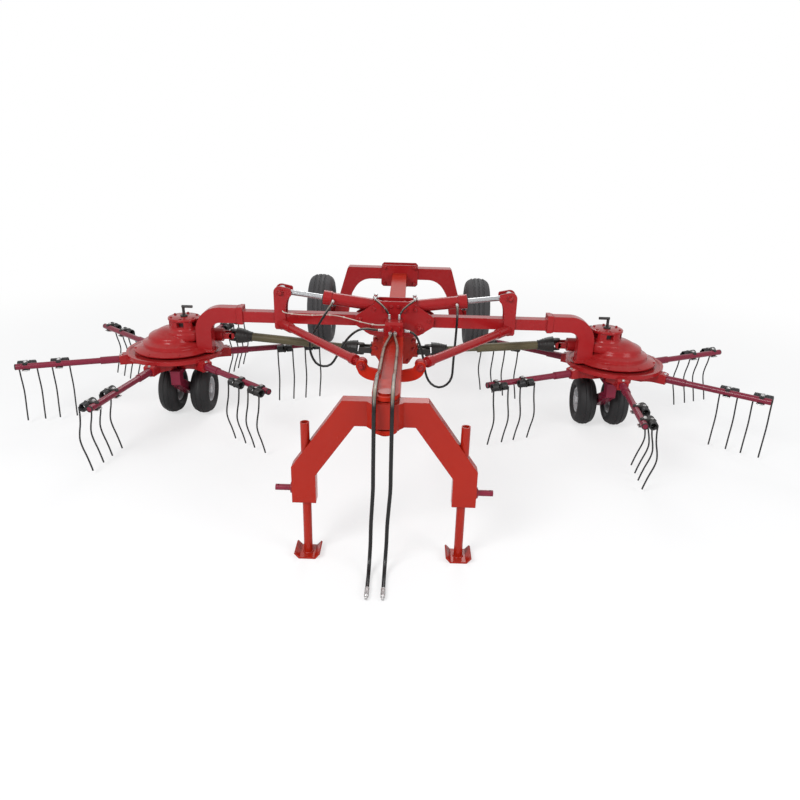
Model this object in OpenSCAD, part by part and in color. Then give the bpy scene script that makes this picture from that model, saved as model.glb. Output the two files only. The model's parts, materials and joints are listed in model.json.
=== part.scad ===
// Semi-mounted twin-rotor rotary hay rake, as an assembly of separate pieces.
// Units are millimetres. Inside the modules y runs back from the hitch line,
// x to the right and z up from the ground. placed() moves it all to the middle.

/* [Layout] */
// Distance of each rotor axis from the middle
rotor_x = 1454; // [1400:1:1500]
// Distance of the rotor axes behind the hitch line
rotor_y = 1620; // [1600:1:1640]
// Distance of the rear axle behind the hitch line
rear_axle_y = 3280; // [3100:1:3500]
// Distance of the folding arms behind the hitch line
arm_y = 1560; // [1550:1:1570]
// Distance of the drive line behind the hitch line
drive_y = 1672; // [1668:1:1690]
// Distance of each fold axis from the middle
fold_x = 158; // [150:1:170]
// Height of the fold axes
fold_z = 668; // [660:1:676]

/* [Headstock] */
// Half of the headstock's width over its legs
head_half_w = 412.5; // [400:0.5:430]
// Width of one leg
head_leg_w = 107.5; // [95:0.5:120]
// Depth of the headstock's box section
head_t = 60; // [56:1:70]
// Height of the legs' lower ends
head_bottom_z = 284; // [260:1:300]
// Height of the outer shoulder
head_shoulder_z = 461; // [440:1:480]
// Height of the cross bar's top face
head_top_z = 786; // [780:1:792]
// Half of the cross bar's width at the top
head_top_half_w = 185; // [170:1:200]
// Height of the cross bar's section
head_bar_h = 116; // [105:1:120]
// Outer diameter of the swivel tube
swivel_d = 104; // [90:1:116]
// Diameter of the king pin
king_d = 50; // [40:1:60]
// Diameter of the lower hitch pins
hitch_d = 28; // [22:0.5:36.5]
// Length of the lower hitch pins outside the legs
hitch_len = 77; // [60:1:100]
// Height of the lower hitch pins
hitch_z = 345; // [320:1:400]

/* [Stands] */
// Distance of each stand in from the headstock's outer face
stand_in = 62.5; // [50:0.5:68]
// Diameter of a stand tube
stand_d = 40; // [34:1:44]
// Height of a stand tube's top
stand_top_z = 670; // [620:1:720]
// Width of a stand's foot
foot_w = 120; // [90:1:150]
// Depth of a stand's foot
foot_depth = 108; // [80:1:116]

/* [Main beam] */
// Width and height of the beam's section
beam_w = 120; // [110:1:124]
// Height of the rear beam's top face
beam_top_z = 660; // [656:1:664]
// Where the beam's front part begins to rise
beam_bend_y = 1250; // [1150:1:1350]
// Height of the beam's top face at its front end
beam_front_z = 788; // [780:1:794]
// Distance of the beam's front face behind the king pin
beam_front_y = 76; // [72:1:90]
// Thickness of the swivel lugs
lug_t = 20; // [14:1:24]
// Gap between a swivel lug and the swivel tube
lug_gap = 6; // [5:0.5:8]

/* [Turret] */
// Half of the turret plates' width
turret_half_w = 250; // [245:1:260]
// Half of the space between the turret plates
turret_half_gap = 49; // [48:0.5:51]
// Thickness of a turret plate
turret_t = 12; // [8:1:16]
// Height of the turret plates' top
turret_top_z = 838; // [832:1:850]
// Diameter of the fold pins
fold_pin_d = 36; // [30:1:44]

/* [Arms] */
// Width and height of the arm tube
arm_s = 70; // [60:1:76]
// Height of the arm tube's middle
arm_z = 705; // [700:1:710]
// Depth of the gooseneck's section
neck_h = 100; // [90:1:110]
// Width of the gooseneck's section
neck_w = 80; // [76:1:90]
// Where the gooseneck begins
neck_x = 970; // [940:1:1000]
// Middle of the gooseneck's bend
bend_x = 1118; // [1100:1:1130]
// Inner radius of the gooseneck's bend
bend_r = 63; // [50:1:70]
// Thickness of the collars on the gooseneck and the brace
collar_t = 6; // [4:0.5:8]
// Diameter of the brace strut
strut_d = 50; // [40:1:56]
// Distance of the brace pivot behind the hitch line
strut_y = 800; // [760:1:860]
// Thickness of the cylinder lug's plates
ear_t = 12; // [8:1:14]

/* [Cylinders] */
// Distance of each cylinder's base pin from the middle
base_x = 60; // [58:1:70]
// Height of the base pins
base_z = 790; // [784:1:796]
// Distance of each rod's pin from the middle
eye_x = 721; // [712:1:730]
// Height of the rods' pins
eye_z = 873; // [866:1:880]
// Outer diameter of a cylinder barrel
barrel_d = 78; // [66:1:82]
// Length of the barrel and its gland from the base pin
barrel_len = 398; // [370:1:410]
// Length of a cylinder's gland
gland_len = 54; // [44:1:60]
// Distance of the gland's port from the barrel's end
port_in = 68; // [66:1:80]
// Diameter of a cylinder rod
rod_d = 34; // [26:1:40]
// Diameter of the cylinder pins
cyl_pin_d = 30; // [24:1:34]
// Width of a cylinder eye
cyl_eye_w = 44; // [36:1:50]

/* [Drive] */
// Half of the gearbox's width
gear_half_w = 142; // [130:1:146]
// Height of the gearbox's shafts
gear_z = 470; // [464:1:474]
// Distance of each inner drive joint from the middle
joint_in_x = 220; // [216:1:228]
// Distance of each outer drive joint from the middle
joint_out_x = 1080; // [1070:1:1090]
// Height of the outer drive joints
joint_out_z = 540; // [536:1:544]
// Outer diameter of the drive tube
drive_d = 56; // [52:1:60]
// Diameter of the gearbox's input stub
input_d = 35; // [30:0.1:45]

/* [Rotors] */
// Radius of a rotor's rim
disc_r = 310; // [290:1:330]
// Height of the tine arms
tine_arm_z = 405; // [403:1:408]
// Radius that the tine arms reach
tine_arm_r = 965; // [940:1:990]
// Diameter of a tine arm
tine_arm_d = 38; // [32:1:40]
// Diameter of the sleeve at a tine arm's root
sleeve_d = 48; // [44:1:50]
// Radius that the sleeves reach
sleeve_r = 470; // [420:1:520]
// Number of tine arms on a rotor
tine_arms_n = 6; // [5:1:7]
// Angle of the right rotor's first arm
phase_right = 25; // [0:1:59]
// Angle of the left rotor's first arm, mirrored
phase_left = -20; // [-59:1:0]
// Distance of the outer coil's middle from an arm's end
coil_from_end = 59; // [57:1:80]
// Spacing of the two double coils on an arm
coil_pitch = 190; // [150:1:220]
// Gap between the two halves of a double coil
coil_gap = 14; // [10:1:20]
// Turns in each half of a double coil
coil_turns = 5; // [4:1:6]
// Outer diameter of a tine's coils
coil_d = 50; // [44:1:56]
// Length of a double coil
coil_len = 112; // [100:1:120]
// Diameter of the tine wire
wire_d = 9.5; // [8:0.5:11]
// Height of the tine tips
tip_z = 20; // [12:1:40]
// Radius of the rotor housing's flange
flange_r = 260; // [250:1:270]
// Radius of the rotor housing's dome at its foot
dome_r = 238; // [225:1:242]
// Radius of the rotor housing's crown
crown_r = 72; // [60:1:90]
// Radius of the adjuster's drum
head_r = 100; // [92:1:104]
// Height of the adjuster's drum above the housing's seat
head_top = 196; // [190:1:210]
// Distance of the adjuster inboard of the rotor axis
crank_in = 75; // [68:1:80]
// Radius of a rotor's hub
hub_r = 78; // [70:1:90]
// Thickness of a rotor's disc
disc_t = 12; // [8:1:14]
// Diameter of the fixed rotor axle
rotor_axle_d = 80; // [70:1:90]

/* [Rotor wheels] */
// Diameter of a rotor wheel
small_d = 330; // [310:1:332]
// Width of a rotor wheel
small_w = 125; // [110:1:130]
// Spacing of the twin wheels
small_gap = 212; // [206:1:220]
// Distance of the pair inboard of the rotor axis
small_in = 60; // [50:1:70]
// Distance of the rotor wheels' axle behind the rotor axis
small_back = 10; // [0:1:20]
// Diameter of the rotor wheels' axle
small_axle_d = 25; // [20:1:30]

/* [Rear axle] */
// Diameter of a rear tyre
big_d = 620; // [590:1:640]
// Width of a rear tyre
big_w = 205; // [180:1:210]
// Distance of each rear wheel from the middle
big_x = 686; // [684:1:720]
// Depth of the portal's section
portal_t = 100; // [80:1:120]
// Height of the portal's top face
portal_top_z = 705; // [700:1:710]
// Diameter of the stub axles
stub_d = 50; // [40:1:56]
// Half of the flange plate's width
flange_half_w = 158; // [150:1:175]

/* [Hoses] */
// Half of the valve block's width
valve_half_w = 55; // [48:1:58]
// Depth of the valve block
valve_depth = 110; // [90:1:120]
// Height of the valve block
valve_h = 88; // [70:1:95]
// Diameter of the hydraulic hoses
hose_d = 18; // [14:1:20]

/* [Fits] */
// Gap all round between a pin and its turning bore
run_gap = 0.3; // [0.2:0.05:0.6]
// Gap between pieces that are bolted together side by side
seat_gap = 0.3; // [0.2:0.05:0.5]

/* [Hidden] */
$fn = 64;
front_y = -max(foot_depth / 2, swivel_d / 2, beam_w / 2 - 6);
mid_y = (rear_axle_y + big_d / 2 + front_y) / 2;
swivel_top = head_top_z + 4;
swivel_bottom = head_top_z - head_bar_h - 4;
lug_top = swivel_top + lug_gap + lug_t;
lug_bottom = swivel_bottom - lug_gap - lug_t;
beam_bottom_z = beam_top_z - beam_w;
beam_end_y = rear_axle_y - portal_t / 2 - 15;
plate_y0 = arm_y - turret_half_gap - turret_t;
plate_y1 = arm_y + turret_half_gap;
bend_z = arm_z + 8 - neck_h / 2 - bend_r;
foot_z = 476;
ear_y0 = arm_y - arm_s / 2 - ear_t;
cyl_tilt = atan2(eye_z - base_z, eye_x - base_x);
cyl_len = norm([eye_x - base_x, eye_z - base_z]);
drive_tilt = atan2(joint_out_z - gear_z, joint_out_x - joint_in_x);
drive_len = norm([joint_out_x - joint_in_x, joint_out_z - gear_z]);
coil_z = tine_arm_z;
coil_off = tine_arm_d / 2 + coil_d / 2 + 3;
coil_mid = [tine_arm_r - coil_from_end - coil_pitch, tine_arm_r - coil_from_end];
stand_x = head_half_w - stand_in;
leg_step = 103;
stub_z = coil_z - coil_d / 2 - 8;
small_x = rotor_x - small_in;
small_y = rotor_y + small_back;
small_z = small_d / 2;
big_z = big_d / 2;
bar_bottom_z = portal_top_z - 97;
valve_y = arm_y - 230;
port_z = beam_top_z + 24;
strut_top = [eye_x - 9, ear_y0, fold_z];
disc_z = tine_arm_z + sleeve_d / 2 + 7;
beam_slope = (beam_front_z - beam_top_z) / (beam_bend_y - beam_front_y);
gland_port = [base_x + cos(cyl_tilt) * (barrel_len - port_in), arm_y - barrel_d / 2 - 26.6,
  base_z + sin(cyl_tilt) * (barrel_len - port_in)];
valve_port = [valve_half_w + 8.6, valve_y + valve_depth / 2, port_z];
feed_from_x = [-20, 8];
feed_x = [-46, 30];
feed_end_x = [-58, 12];
// Points that steer the free loops from a gland's port to the valve block
loop_right = [[389, 1402, 831], [386, 1400, 660], [378, 1410, 480], [378, 1412, 350], [296, 1412, 292],
  [214, 1412, 350], [190, 1410, 500], [150, 1395, 640], [108, 1385, 684]];
loop_left = [[391, 1402, 831], [478, 1402, 690], [533, 1405, 590], [524, 1408, 500], [482, 1410, 428],
  [400, 1410, 428], [358, 1410, 500], [290, 1405, 628], [205, 1392, 694], [124, 1385, 686]];

paint = [0.72, 0.13, 0.10];
crimson = [0.50, 0.08, 0.10];
plum = [0.42, 0.10, 0.16];
black = [0.08, 0.08, 0.08];
steel = [0.60, 0.61, 0.63];
olive = [0.36, 0.32, 0.20];

// Moves the whole rake to the middle of its length.
module placed() translate([0, -mid_y, 0]) children();

// Mirrors a right-hand piece to the left.
module left() mirror([1, 0, 0]) children();

// Both the right-hand and the left-hand copy.
module both() { children(); left() children(); }

// A flat outline in x and z, t thick, from y backwards.
module across(y, t) translate([0, y + t, 0]) rotate([90, 0, 0]) linear_extrude(t) children();

// A flat outline in y and z, t thick, from x to the right.
module along(x, t) translate([x, 0, 0]) rotate([90, 0, 90]) linear_extrude(t) children();

// A round bar lying along y.
module bar_y(x, y, z, d, len) translate([x, y + len, z]) rotate([90, 0, 0]) cylinder(d = d, h = len);

// A round bar lying along x.
module bar_x(x, y, z, d, len) translate([x, y, z]) rotate([0, 90, 0]) cylinder(d = d, h = len);

// A round bar between two points.
module strut_between(a, b, d) {
  v = b - a;
  translate(a) rotate([0, acos(v[2] / norm(v)), atan2(v[1], v[0])]) cylinder(d = d, h = norm(v));
}

// Points of an arc in a plane.
function arc(cx, cy, r, a0, a1, n = 10) =
  [for (i = [0 : n]) let(a = a0 + (a1 - a0) * i / n) [cx + r * cos(a), cy + r * sin(a)]];

// An outline and its mirror image as one closed outline.
function mirrored(pts) = concat(pts, [for (i = [len(pts) - 1 : -1 : 0]) [-pts[i][0], pts[i][1]]]);

function unit(v) = v / norm(v);

// Direction of a path at one of its points.
function heading(path, i) =
  unit(path[min(i + 1, len(path) - 1)] - path[max(i - 1, 0)]);

// The part of a direction that is square to a path at one of its points.
function square_to(path, i, u) = let(t = heading(path, i)) unit(u - t * (u * t));

// Side directions carried along a path without twist.
function carried(path, u, i = 0) = let(v = square_to(path, i, u))
  i == len(path) - 1 ? [v] : concat([v], carried(path, v, i + 1));

// A round tube along a path, as one closed surface.
module tube(path, d, ref, n = 8) {
  m = len(path);
  us = carried(path, ref);
  pts = [for (i = [0 : m - 1])
    let(u = us[i], w = cross(heading(path, i), u))
    for (k = [0 : n - 1]) path[i] + d / 2 * (u * cos(360 * k / n) + w * sin(360 * k / n))];
  sides = [for (i = [0 : m - 2]) for (k = [0 : n - 1])
    [i * n + k, (i + 1) * n + k, (i + 1) * n + (k + 1) % n, i * n + (k + 1) % n]];
  polyhedron(pts, concat(sides, [[for (k = [0 : n - 1]) k]],
    [[for (k = [n - 1 : -1 : 0]) (m - 1) * n + k]]), convexity = 6);
}

// Quadratic bend from a to c that leaves towards b.
function bend(a, b, c, n = 5) =
  [for (i = [0 : n]) let(s = i / n) a * (1 - s) * (1 - s) + b * 2 * s * (1 - s) + c * s * s];

// Smooth path from the first to the last of some steering points.
function flow(p, n = 2) = let(m = len(p)) concat([p[0]],
  [for (i = [1 : m - 2])
    let(a = i == 1 ? p[0] : (p[i - 1] + p[i]) / 2, c = i == m - 2 ? p[m - 1] : (p[i] + p[i + 1]) / 2)
    for (k = [1 : n]) let(s = k / n) a * (1 - s) * (1 - s) + p[i] * 2 * s * (1 - s) + c * s * s]);

// Headstock and stands
module headstock() color(paint) difference() {
  union() {
    across(-head_t / 2, head_t) polygon(mirrored([
      [head_half_w - head_leg_w, head_bottom_z], [head_half_w, head_bottom_z],
      [head_half_w, head_shoulder_z], [head_top_half_w, head_top_z]
    ]));
    translate([0, 0, swivel_bottom]) cylinder(d = swivel_d, h = swivel_top - swivel_bottom);
  }
  across(-head_t / 2 - 1, head_t + 2) polygon(mirrored([
    [head_half_w - head_leg_w, head_bottom_z - 1],
    [head_half_w - head_leg_w, head_shoulder_z - 37],
    [head_top_half_w - 53, head_top_z - head_bar_h]
  ]));
  translate([0, 0, swivel_bottom - 1]) cylinder(d = king_d + 2 * run_gap, h = swivel_top - swivel_bottom + 2);
  both() translate([stand_x, 0, head_bottom_z - 1]) cylinder(d = stand_d + 2, h = head_top_z);
}

module hitch_pins() color(steel) both() difference() {
  union() {
    bar_x(head_half_w, 0, hitch_z, hitch_d, hitch_len);
    bar_x(head_half_w, 0, hitch_z, hitch_d + 22, 8);
  }
  translate([head_half_w + hitch_len - 14, 0, hitch_z - hitch_d]) cylinder(d = 10, h = 2 * hitch_d);
}

module stand() color(paint) {
  difference() {
    translate([stand_x, 0, 0]) union() {
      translate([0, 0, 6]) cylinder(d = stand_d, h = stand_top_z - 6);
      across(-foot_depth / 2, foot_depth) polygon(mirrored([
        [0, 0], [foot_w / 2 - 22, 0], [foot_w / 2, 26], [foot_w / 2 - 6, 30], [foot_w / 2 - 26, 8], [0, 8]
      ]));
    }
    translate([stand_x, 0, stand_top_z - 200]) cylinder(d = stand_d - 10, h = 201);
  }
}

// Frame
module main_beam() color(paint) {
  difference() {
    union() {
      along(-beam_w / 2, beam_w) polygon([
        [beam_front_y, beam_front_z - beam_w], [beam_bend_y, beam_bottom_z], [beam_end_y, beam_bottom_z],
        [beam_end_y, beam_top_z], [beam_bend_y, beam_top_z], [beam_front_y, beam_front_z]
      ]);
      along(-beam_w / 2, beam_w) polygon([
        [0, lug_top - lug_t], [beam_front_y, lug_top - lug_t], [beam_front_y, beam_front_z - 30],
        [beam_front_y + 200, beam_front_z - 60], [beam_front_y + 200, beam_front_z - beam_slope * 200],
        [beam_front_y + 90, lug_top], [0, lug_top]
      ]);
      along(-beam_w / 2, beam_w) polygon([
        [0, lug_bottom], [beam_front_y + 190, lug_bottom], [beam_front_y + 190, lug_bottom + 50],
        [beam_front_y, lug_bottom + 50], [beam_front_y, lug_bottom + lug_t], [0, lug_bottom + lug_t]
      ]);
      translate([0, 0, lug_top - lug_t]) cylinder(d = beam_w - 12, h = lug_t);
      translate([0, 0, lug_bottom]) cylinder(d = beam_w - 12, h = lug_t);
      both() across(strut_y - 46, 20) polygon(concat(
        [[beam_w / 2 - 1, fold_z - 22], [fold_x - 40, fold_z - 8]],
        arc(fold_x, fold_z, 30, 115, -35, 8),
        bend([fold_x + 14, fold_z - 42], [fold_x - 14, fold_z - 80], [beam_w / 2 + 10, fold_z - 85], 6),
        [[beam_w / 2 - 1, fold_z - 85]]
      ));
    }
    translate([0, 0, lug_bottom - 1]) cylinder(d = king_d, h = lug_top - lug_bottom + 2);
    for (z = [lug_bottom - 1, lug_top - lug_t - 1])
      difference() {
        translate([-beam_w, -beam_w, z]) cube([2 * beam_w, beam_w, lug_t + 2]);
        translate([0, 0, z - 1]) cylinder(d = beam_w - 12, h = lug_t + 4);
      }
    both() bar_y(fold_x, strut_y - 60, fold_z, cyl_pin_d, 60);
  }
}

module king_pin() color(steel) {
  translate([0, 0, lug_bottom]) cylinder(d = king_d, h = lug_top - lug_bottom);
  translate([0, 0, lug_top]) cylinder(d = king_d + 18, h = 8);
  translate([0, 0, lug_bottom - 14]) cylinder(d = king_d + 12, h = 14);
}

module turret() color(crimson) difference() {
  for (y = [plate_y0, plate_y1]) across(y, turret_t) polygon(mirrored([
    [fold_x - 62, fold_z - 62], [fold_x + 2, fold_z - 46], [turret_half_w - 4, fold_z + 12],
    [turret_half_w, fold_z + 72], [base_x + 45, turret_top_z]
  ]));
  translate([-beam_w / 2, plate_y0 - 1, beam_bottom_z]) cube([beam_w, plate_y1 - plate_y0 + turret_t + 2, beam_w]);
  both() bar_y(fold_x, plate_y0 - 1, fold_z, fold_pin_d, 200);
  both() bar_y(base_x, plate_y0 - 1, base_z, cyl_pin_d, 200);
}

module fold_pins() color(steel) both() {
  len = 2 * (turret_half_gap + turret_t);
  bar_y(fold_x, plate_y0, fold_z, fold_pin_d, len);
  bar_y(fold_x, plate_y0 - 8, fold_z, fold_pin_d + 16, 8);
  bar_y(fold_x, plate_y0 + len, fold_z, fold_pin_d + 16, 8);
  bar_y(base_x, plate_y0, base_z, cyl_pin_d, len);
  bar_y(base_x, plate_y0 - 8, base_z, cyl_pin_d + 14, 8);
  bar_y(base_x, plate_y0 + len, base_z, cyl_pin_d + 14, 8);
  bar_y(fold_x, strut_y - 46, fold_z, cyl_pin_d, 68);
  bar_y(fold_x, strut_y - 54, fold_z, cyl_pin_d + 14, 8);
}

module gearbox() color(crimson) {
  across(plate_y1 + turret_t + 3, drive_y + 73 - plate_y1 - turret_t) polygon(mirrored([
    [gear_half_w - 52, gear_z - 84], [gear_half_w - 6, gear_z - 18], [gear_half_w, gear_z + 10],
    [gear_half_w, beam_bottom_z + 20], [gear_half_w - 26, beam_bottom_z + 34],
    [beam_w / 2, beam_bottom_z + 34], [beam_w / 2, beam_bottom_z]
  ]));
  both() bar_x(gear_half_w - 20, drive_y, gear_z, 96, 28);
  bar_y(0, drive_y - 100, gear_z, 92, 60);
}

module gearbox_shafts() color(steel) {
  bar_y(0, drive_y - 190, gear_z, input_d, 90);
  both() {
    bar_x(gear_half_w + 8, drive_y, gear_z, 68, 14);
    for (s = [-1, 1]) across(drive_y + s * 32 - 6, 12) union() {
      translate([joint_in_x, gear_z]) circle(d = 40);
      translate([gear_half_w + 18, gear_z - 20]) square([joint_in_x - gear_half_w - 18, 40]);
    }
  }
}

// Rear axle
module axle_flange() color(crimson) difference() {
  union() {
    for (y = [beam_end_y, rear_axle_y + portal_t / 2])
      across(y, 15) polygon(mirrored([
        [flange_half_w - 18, 549], [flange_half_w, 567], [flange_half_w, 715], [flange_half_w - 18, 733]
      ]));
    both() for (z = [572, 714]) bar_y(flange_half_w - 30, beam_end_y - 12, z, 18, portal_t + 54);
    both() for (z = [572, 714]) for (y = [beam_end_y - 12, rear_axle_y + portal_t / 2 + 15])
      bar_y(flange_half_w - 30, y, z, 30, 12);
  }
}

module rear_axle() color(crimson) {
  across(rear_axle_y - portal_t / 2, portal_t) polygon(mirrored(concat(
    bend([240, bar_bottom_z], [335, bar_bottom_z], [386, bar_bottom_z - 82], 8),
    bend([408, bar_bottom_z - 120], [420, bar_bottom_z - 142], [424, bar_bottom_z - 170], 3),
    [[452, big_z - 50], [big_x - big_w / 2 - 10, big_z - 50], [big_x - big_w / 2 - 10, big_z], [521, portal_top_z - 238],
    [454, portal_top_z - 14], [440, portal_top_z]]
  )));
  both() bar_x(big_x - big_w / 2 - 10, rear_axle_y, big_z, stub_d, big_w / 2 + 66);
}

module rear_tyre() color(black) translate([big_x, rear_axle_y, big_z]) rotate([0, 90, 0])
  rotate_extrude() polygon(tyre_outline(big_d / 2, big_w, 190, 3, 7));

module rear_rim() color(crimson) translate([big_x, rear_axle_y, big_z]) rotate([0, 90, 0]) difference() {
  rotate_extrude() polygon([
    [0, -56], [56, -56], [56, 6], [150, 6], [176, -20], [176, -big_w * 0.36], [190, -big_w * 0.36],
    [190, big_w * 0.36], [176, big_w * 0.36], [176, 34], [150, 20], [64, 20], [50, 78], [0, 82]
  ]);
  translate([0, 0, -57]) cylinder(d = stub_d + 2 * run_gap, h = 57 + 64);
  for (k = [0 : 4]) rotate([0, 0, 72 * k]) translate([118, 0, 0]) cylinder(d = 40, h = 40, center = true);
}

// Half section of a ribbed tyre: grooves cut the tread of width w at radius r.
function tyre_outline(r, w, bead, grooves, deep) =
  let(h = w / 2, top = h * 0.72, wide = 8, lip = h * 0.72)
  concat(
    [[bead, -lip]],
    arc(bead + (r - bead) * 0.42, -h * 0.55, h * 0.45, 236, 160, 5),
    [[r - 12, -h * 0.86], [r - 3, -top]],
    [for (i = [0 : grooves - 1]) let(c = top * (2 * (i + 1) / (grooves + 1) - 1))
      each [[r, c - wide], [r - deep, c - wide / 2], [r - deep, c + wide / 2], [r, c + wide]]],
    [[r - 3, top], [r - 12, h * 0.86]],
    arc(bead + (r - bead) * 0.42, h * 0.55, h * 0.45, -160 + 360, 124, 5),
    [[bead, lip]]
  );

// Folding arms
module arm() color(crimson) difference() {
  union() {
    across(arm_y - arm_s / 2, arm_s) polygon([
      [fold_x, fold_z - 46], [fold_x + 80, arm_z - arm_s / 2], [neck_x, arm_z - arm_s / 2],
      [neck_x, arm_z + arm_s / 2], [fold_x + 70, arm_z + arm_s / 2], [fold_x - 26, fold_z + 38]
    ]);
    bar_y(fold_x, arm_y - turret_half_gap + 6, fold_z, fold_pin_d + 56, 2 * turret_half_gap - 12);
  }
  bar_y(fold_x, arm_y - turret_half_gap, fold_z, fold_pin_d + 2 * run_gap, 2 * turret_half_gap);
}

module gooseneck() color(crimson) {
  across(arm_y - neck_w / 2, neck_w) polygon(concat(
    [[neck_x, bend_z + bend_r]],
    arc(bend_x, bend_z, bend_r, 90, 0, 12),
    [[bend_x + bend_r, foot_z], [bend_x + bend_r + neck_h, foot_z]],
    arc(bend_x, bend_z, bend_r + neck_h, 0, 90, 16),
    [[neck_x, bend_z + bend_r + neck_h]]
  ));
  across(arm_y - neck_w / 2 - collar_t, neck_w + 2 * collar_t) polygon([
    [neck_x, bend_z + bend_r - collar_t], [neck_x + 26, bend_z + bend_r - collar_t],
    [neck_x + 38, bend_z + bend_r], [neck_x + 38, bend_z + bend_r + neck_h],
    [neck_x + 26, bend_z + bend_r + neck_h + collar_t], [neck_x, bend_z + bend_r + neck_h + collar_t]
  ]);
}

module cylinder_lug() color(crimson) {
  for (y = [ear_y0, arm_y + arm_s / 2]) across(y, ear_t) polygon(concat(
    [[eye_x - 20, fold_z - 34], [eye_x + 36, fold_z - 34], [eye_x + 44, fold_z - 22]],
    arc(eye_x + 6, eye_z, 38, 0, 100, 8),
    arc(eye_x - 54, eye_z + 14, 12, 100, 180, 3),
    bend([eye_x - 66, eye_z - 20], [eye_x - 32, eye_z - 46], [eye_x - 28, arm_z + arm_s / 2 + 18], 6),
    [[eye_x - 28, fold_z - 22]]
  ));
  translate([eye_x - 20, ear_y0, fold_z - 34]) cube([56, arm_s + 2 * ear_t, 12]);
  bar_y(eye_x, ear_y0 - 8, eye_z, cyl_pin_d + 8, 8);
  bar_y(eye_x, arm_y + arm_s / 2 + ear_t, eye_z, cyl_pin_d + 8, 8);
}

module strut() color(crimson) difference() {
  union() {
    foot = [fold_x, strut_y, fold_z];
    dir = unit(strut_top - foot);
    strut_between(foot + dir * 62, strut_top + dir * 60, strut_d);
    strut_between(foot + dir * 10, foot + dir * 70, 32);
    strut_between(foot + dir * 62, foot + dir * 100, strut_d + 2 * collar_t);
    strut_between(strut_top - dir * 110, strut_top + dir * 60, strut_d + 2 * collar_t);
    bar_y(fold_x, strut_y - 20, fold_z, 60, 40);
  }
  bar_y(fold_x, strut_y - 50, fold_z, cyl_pin_d + 2 * run_gap, 100);
  translate([0, ear_y0, 0]) cube([rotor_x, arm_y, 2 * arm_z]);
}

// Rotors
module rotor_housing() color(crimson) difference() {
  union() {
    translate([rotor_x, rotor_y, foot_z]) rotate_extrude() polygon(concat(
      [[0, -14], [flange_r, -14], [flange_r, 0], [dome_r + 3, 2]],
      bend([dome_r, 10], [dome_r - 55, 55], [crown_r, 122], 7), [[0, 122]]
    ));
    translate([bend_x + bend_r - 14, arm_y - neck_w / 2 - 14, foot_z - 14]) cube([neck_h + 28, neck_w + 28, 14]);
    translate([rotor_x - crank_in, rotor_y, foot_z]) rotate_extrude() polygon(concat(
      [[0, 60], [head_r + 30, 60], [head_r + 30, 104]],
      bend([head_r + 28, 112], [head_r, 122], [head_r - 2, 142], 4),
      [[head_r - 2, head_top - 16], [head_r + 3, head_top - 14], [head_r + 3, head_top - 5], [head_r - 4, head_top], [0, head_top]]
    ));
    bar_x(joint_out_x + 62, drive_y, joint_out_z, 88, rotor_x - joint_out_x - 100);
    bar_x(joint_out_x + 48, drive_y, joint_out_z, 62, 20);
    for (s = [-1, 1]) across(drive_y + s * 32 - 6, 12) union() {
      translate([joint_out_x, joint_out_z]) circle(d = 40);
      translate([joint_out_x, joint_out_z - 20]) square([54, 40]);
    }
  }
  translate([rotor_x - crank_in, rotor_y, foot_z + 144]) for (k = [0 : 5]) rotate([0, 0, 60 * k + 30])
    translate([head_r - 34, -22, 0]) cube([60, 44, head_top - 164]);
  translate([bend_x + bend_r - seat_gap, arm_y - neck_w / 2 - seat_gap, foot_z])
    cube([neck_h + 2 * seat_gap, neck_w + 2 * seat_gap, 300]);
}

module crank() color(steel) translate([rotor_x - crank_in, rotor_y, foot_z + head_top]) {
  cylinder(d = 46, h = 10);
  cylinder(d = 18, h = 66);
  bar_x(-60, 0, 66, 18, 69);
}

module wheel_carrier() color(crimson) {
  translate([rotor_x, rotor_y, 342]) cylinder(d = rotor_axle_d, h = 120);
  translate([0, 0, 342]) linear_extrude(28) polygon([
    [small_x - 30, rotor_y - 235], [small_x + 30, rotor_y - 235], [rotor_x + 60, rotor_y - 30],
    [rotor_x + 60, rotor_y + 45], [rotor_x - 60, rotor_y + 45], [small_x - 30, rotor_y - 60]
  ]);
  along(small_x - 30, 60) polygon(concat(
    [[rotor_y - 235, 345], [rotor_y - 235, 280], [rotor_y - 190, 250]],
    arc(small_y, small_z, 36, 230, 410, 10),
    [[rotor_y - 172, 300], [rotor_y - 172, 345]]
  ));
  bar_x(small_x - small_gap / 2 - 40, small_y, small_z, small_axle_d, small_gap + 80);
}

module rotor_disc() color(crimson) translate([rotor_x, rotor_y, 0]) {
  rotate_extrude() polygon([
    [rotor_axle_d / 2 + run_gap, disc_z - 58], [hub_r, disc_z - 58], [hub_r, disc_z - 16], [hub_r + 34, disc_z],
    [disc_r - 16, disc_z], [disc_r - 16, disc_z - 6], [disc_r, disc_z - 6], [disc_r, disc_z + disc_t + 7],
    [disc_r - 16, disc_z + disc_t + 7], [disc_r - 24, disc_z + disc_t], [hub_r + 72, disc_z + disc_t],
    [hub_r + 34, disc_z + disc_t + 7], [rotor_axle_d / 2 + run_gap, disc_z + disc_t + 7]
  ]);
  for (k = [0 : tine_arms_n - 1]) rotate([0, 0, k * 360 / tine_arms_n]) socket();
}

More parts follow.
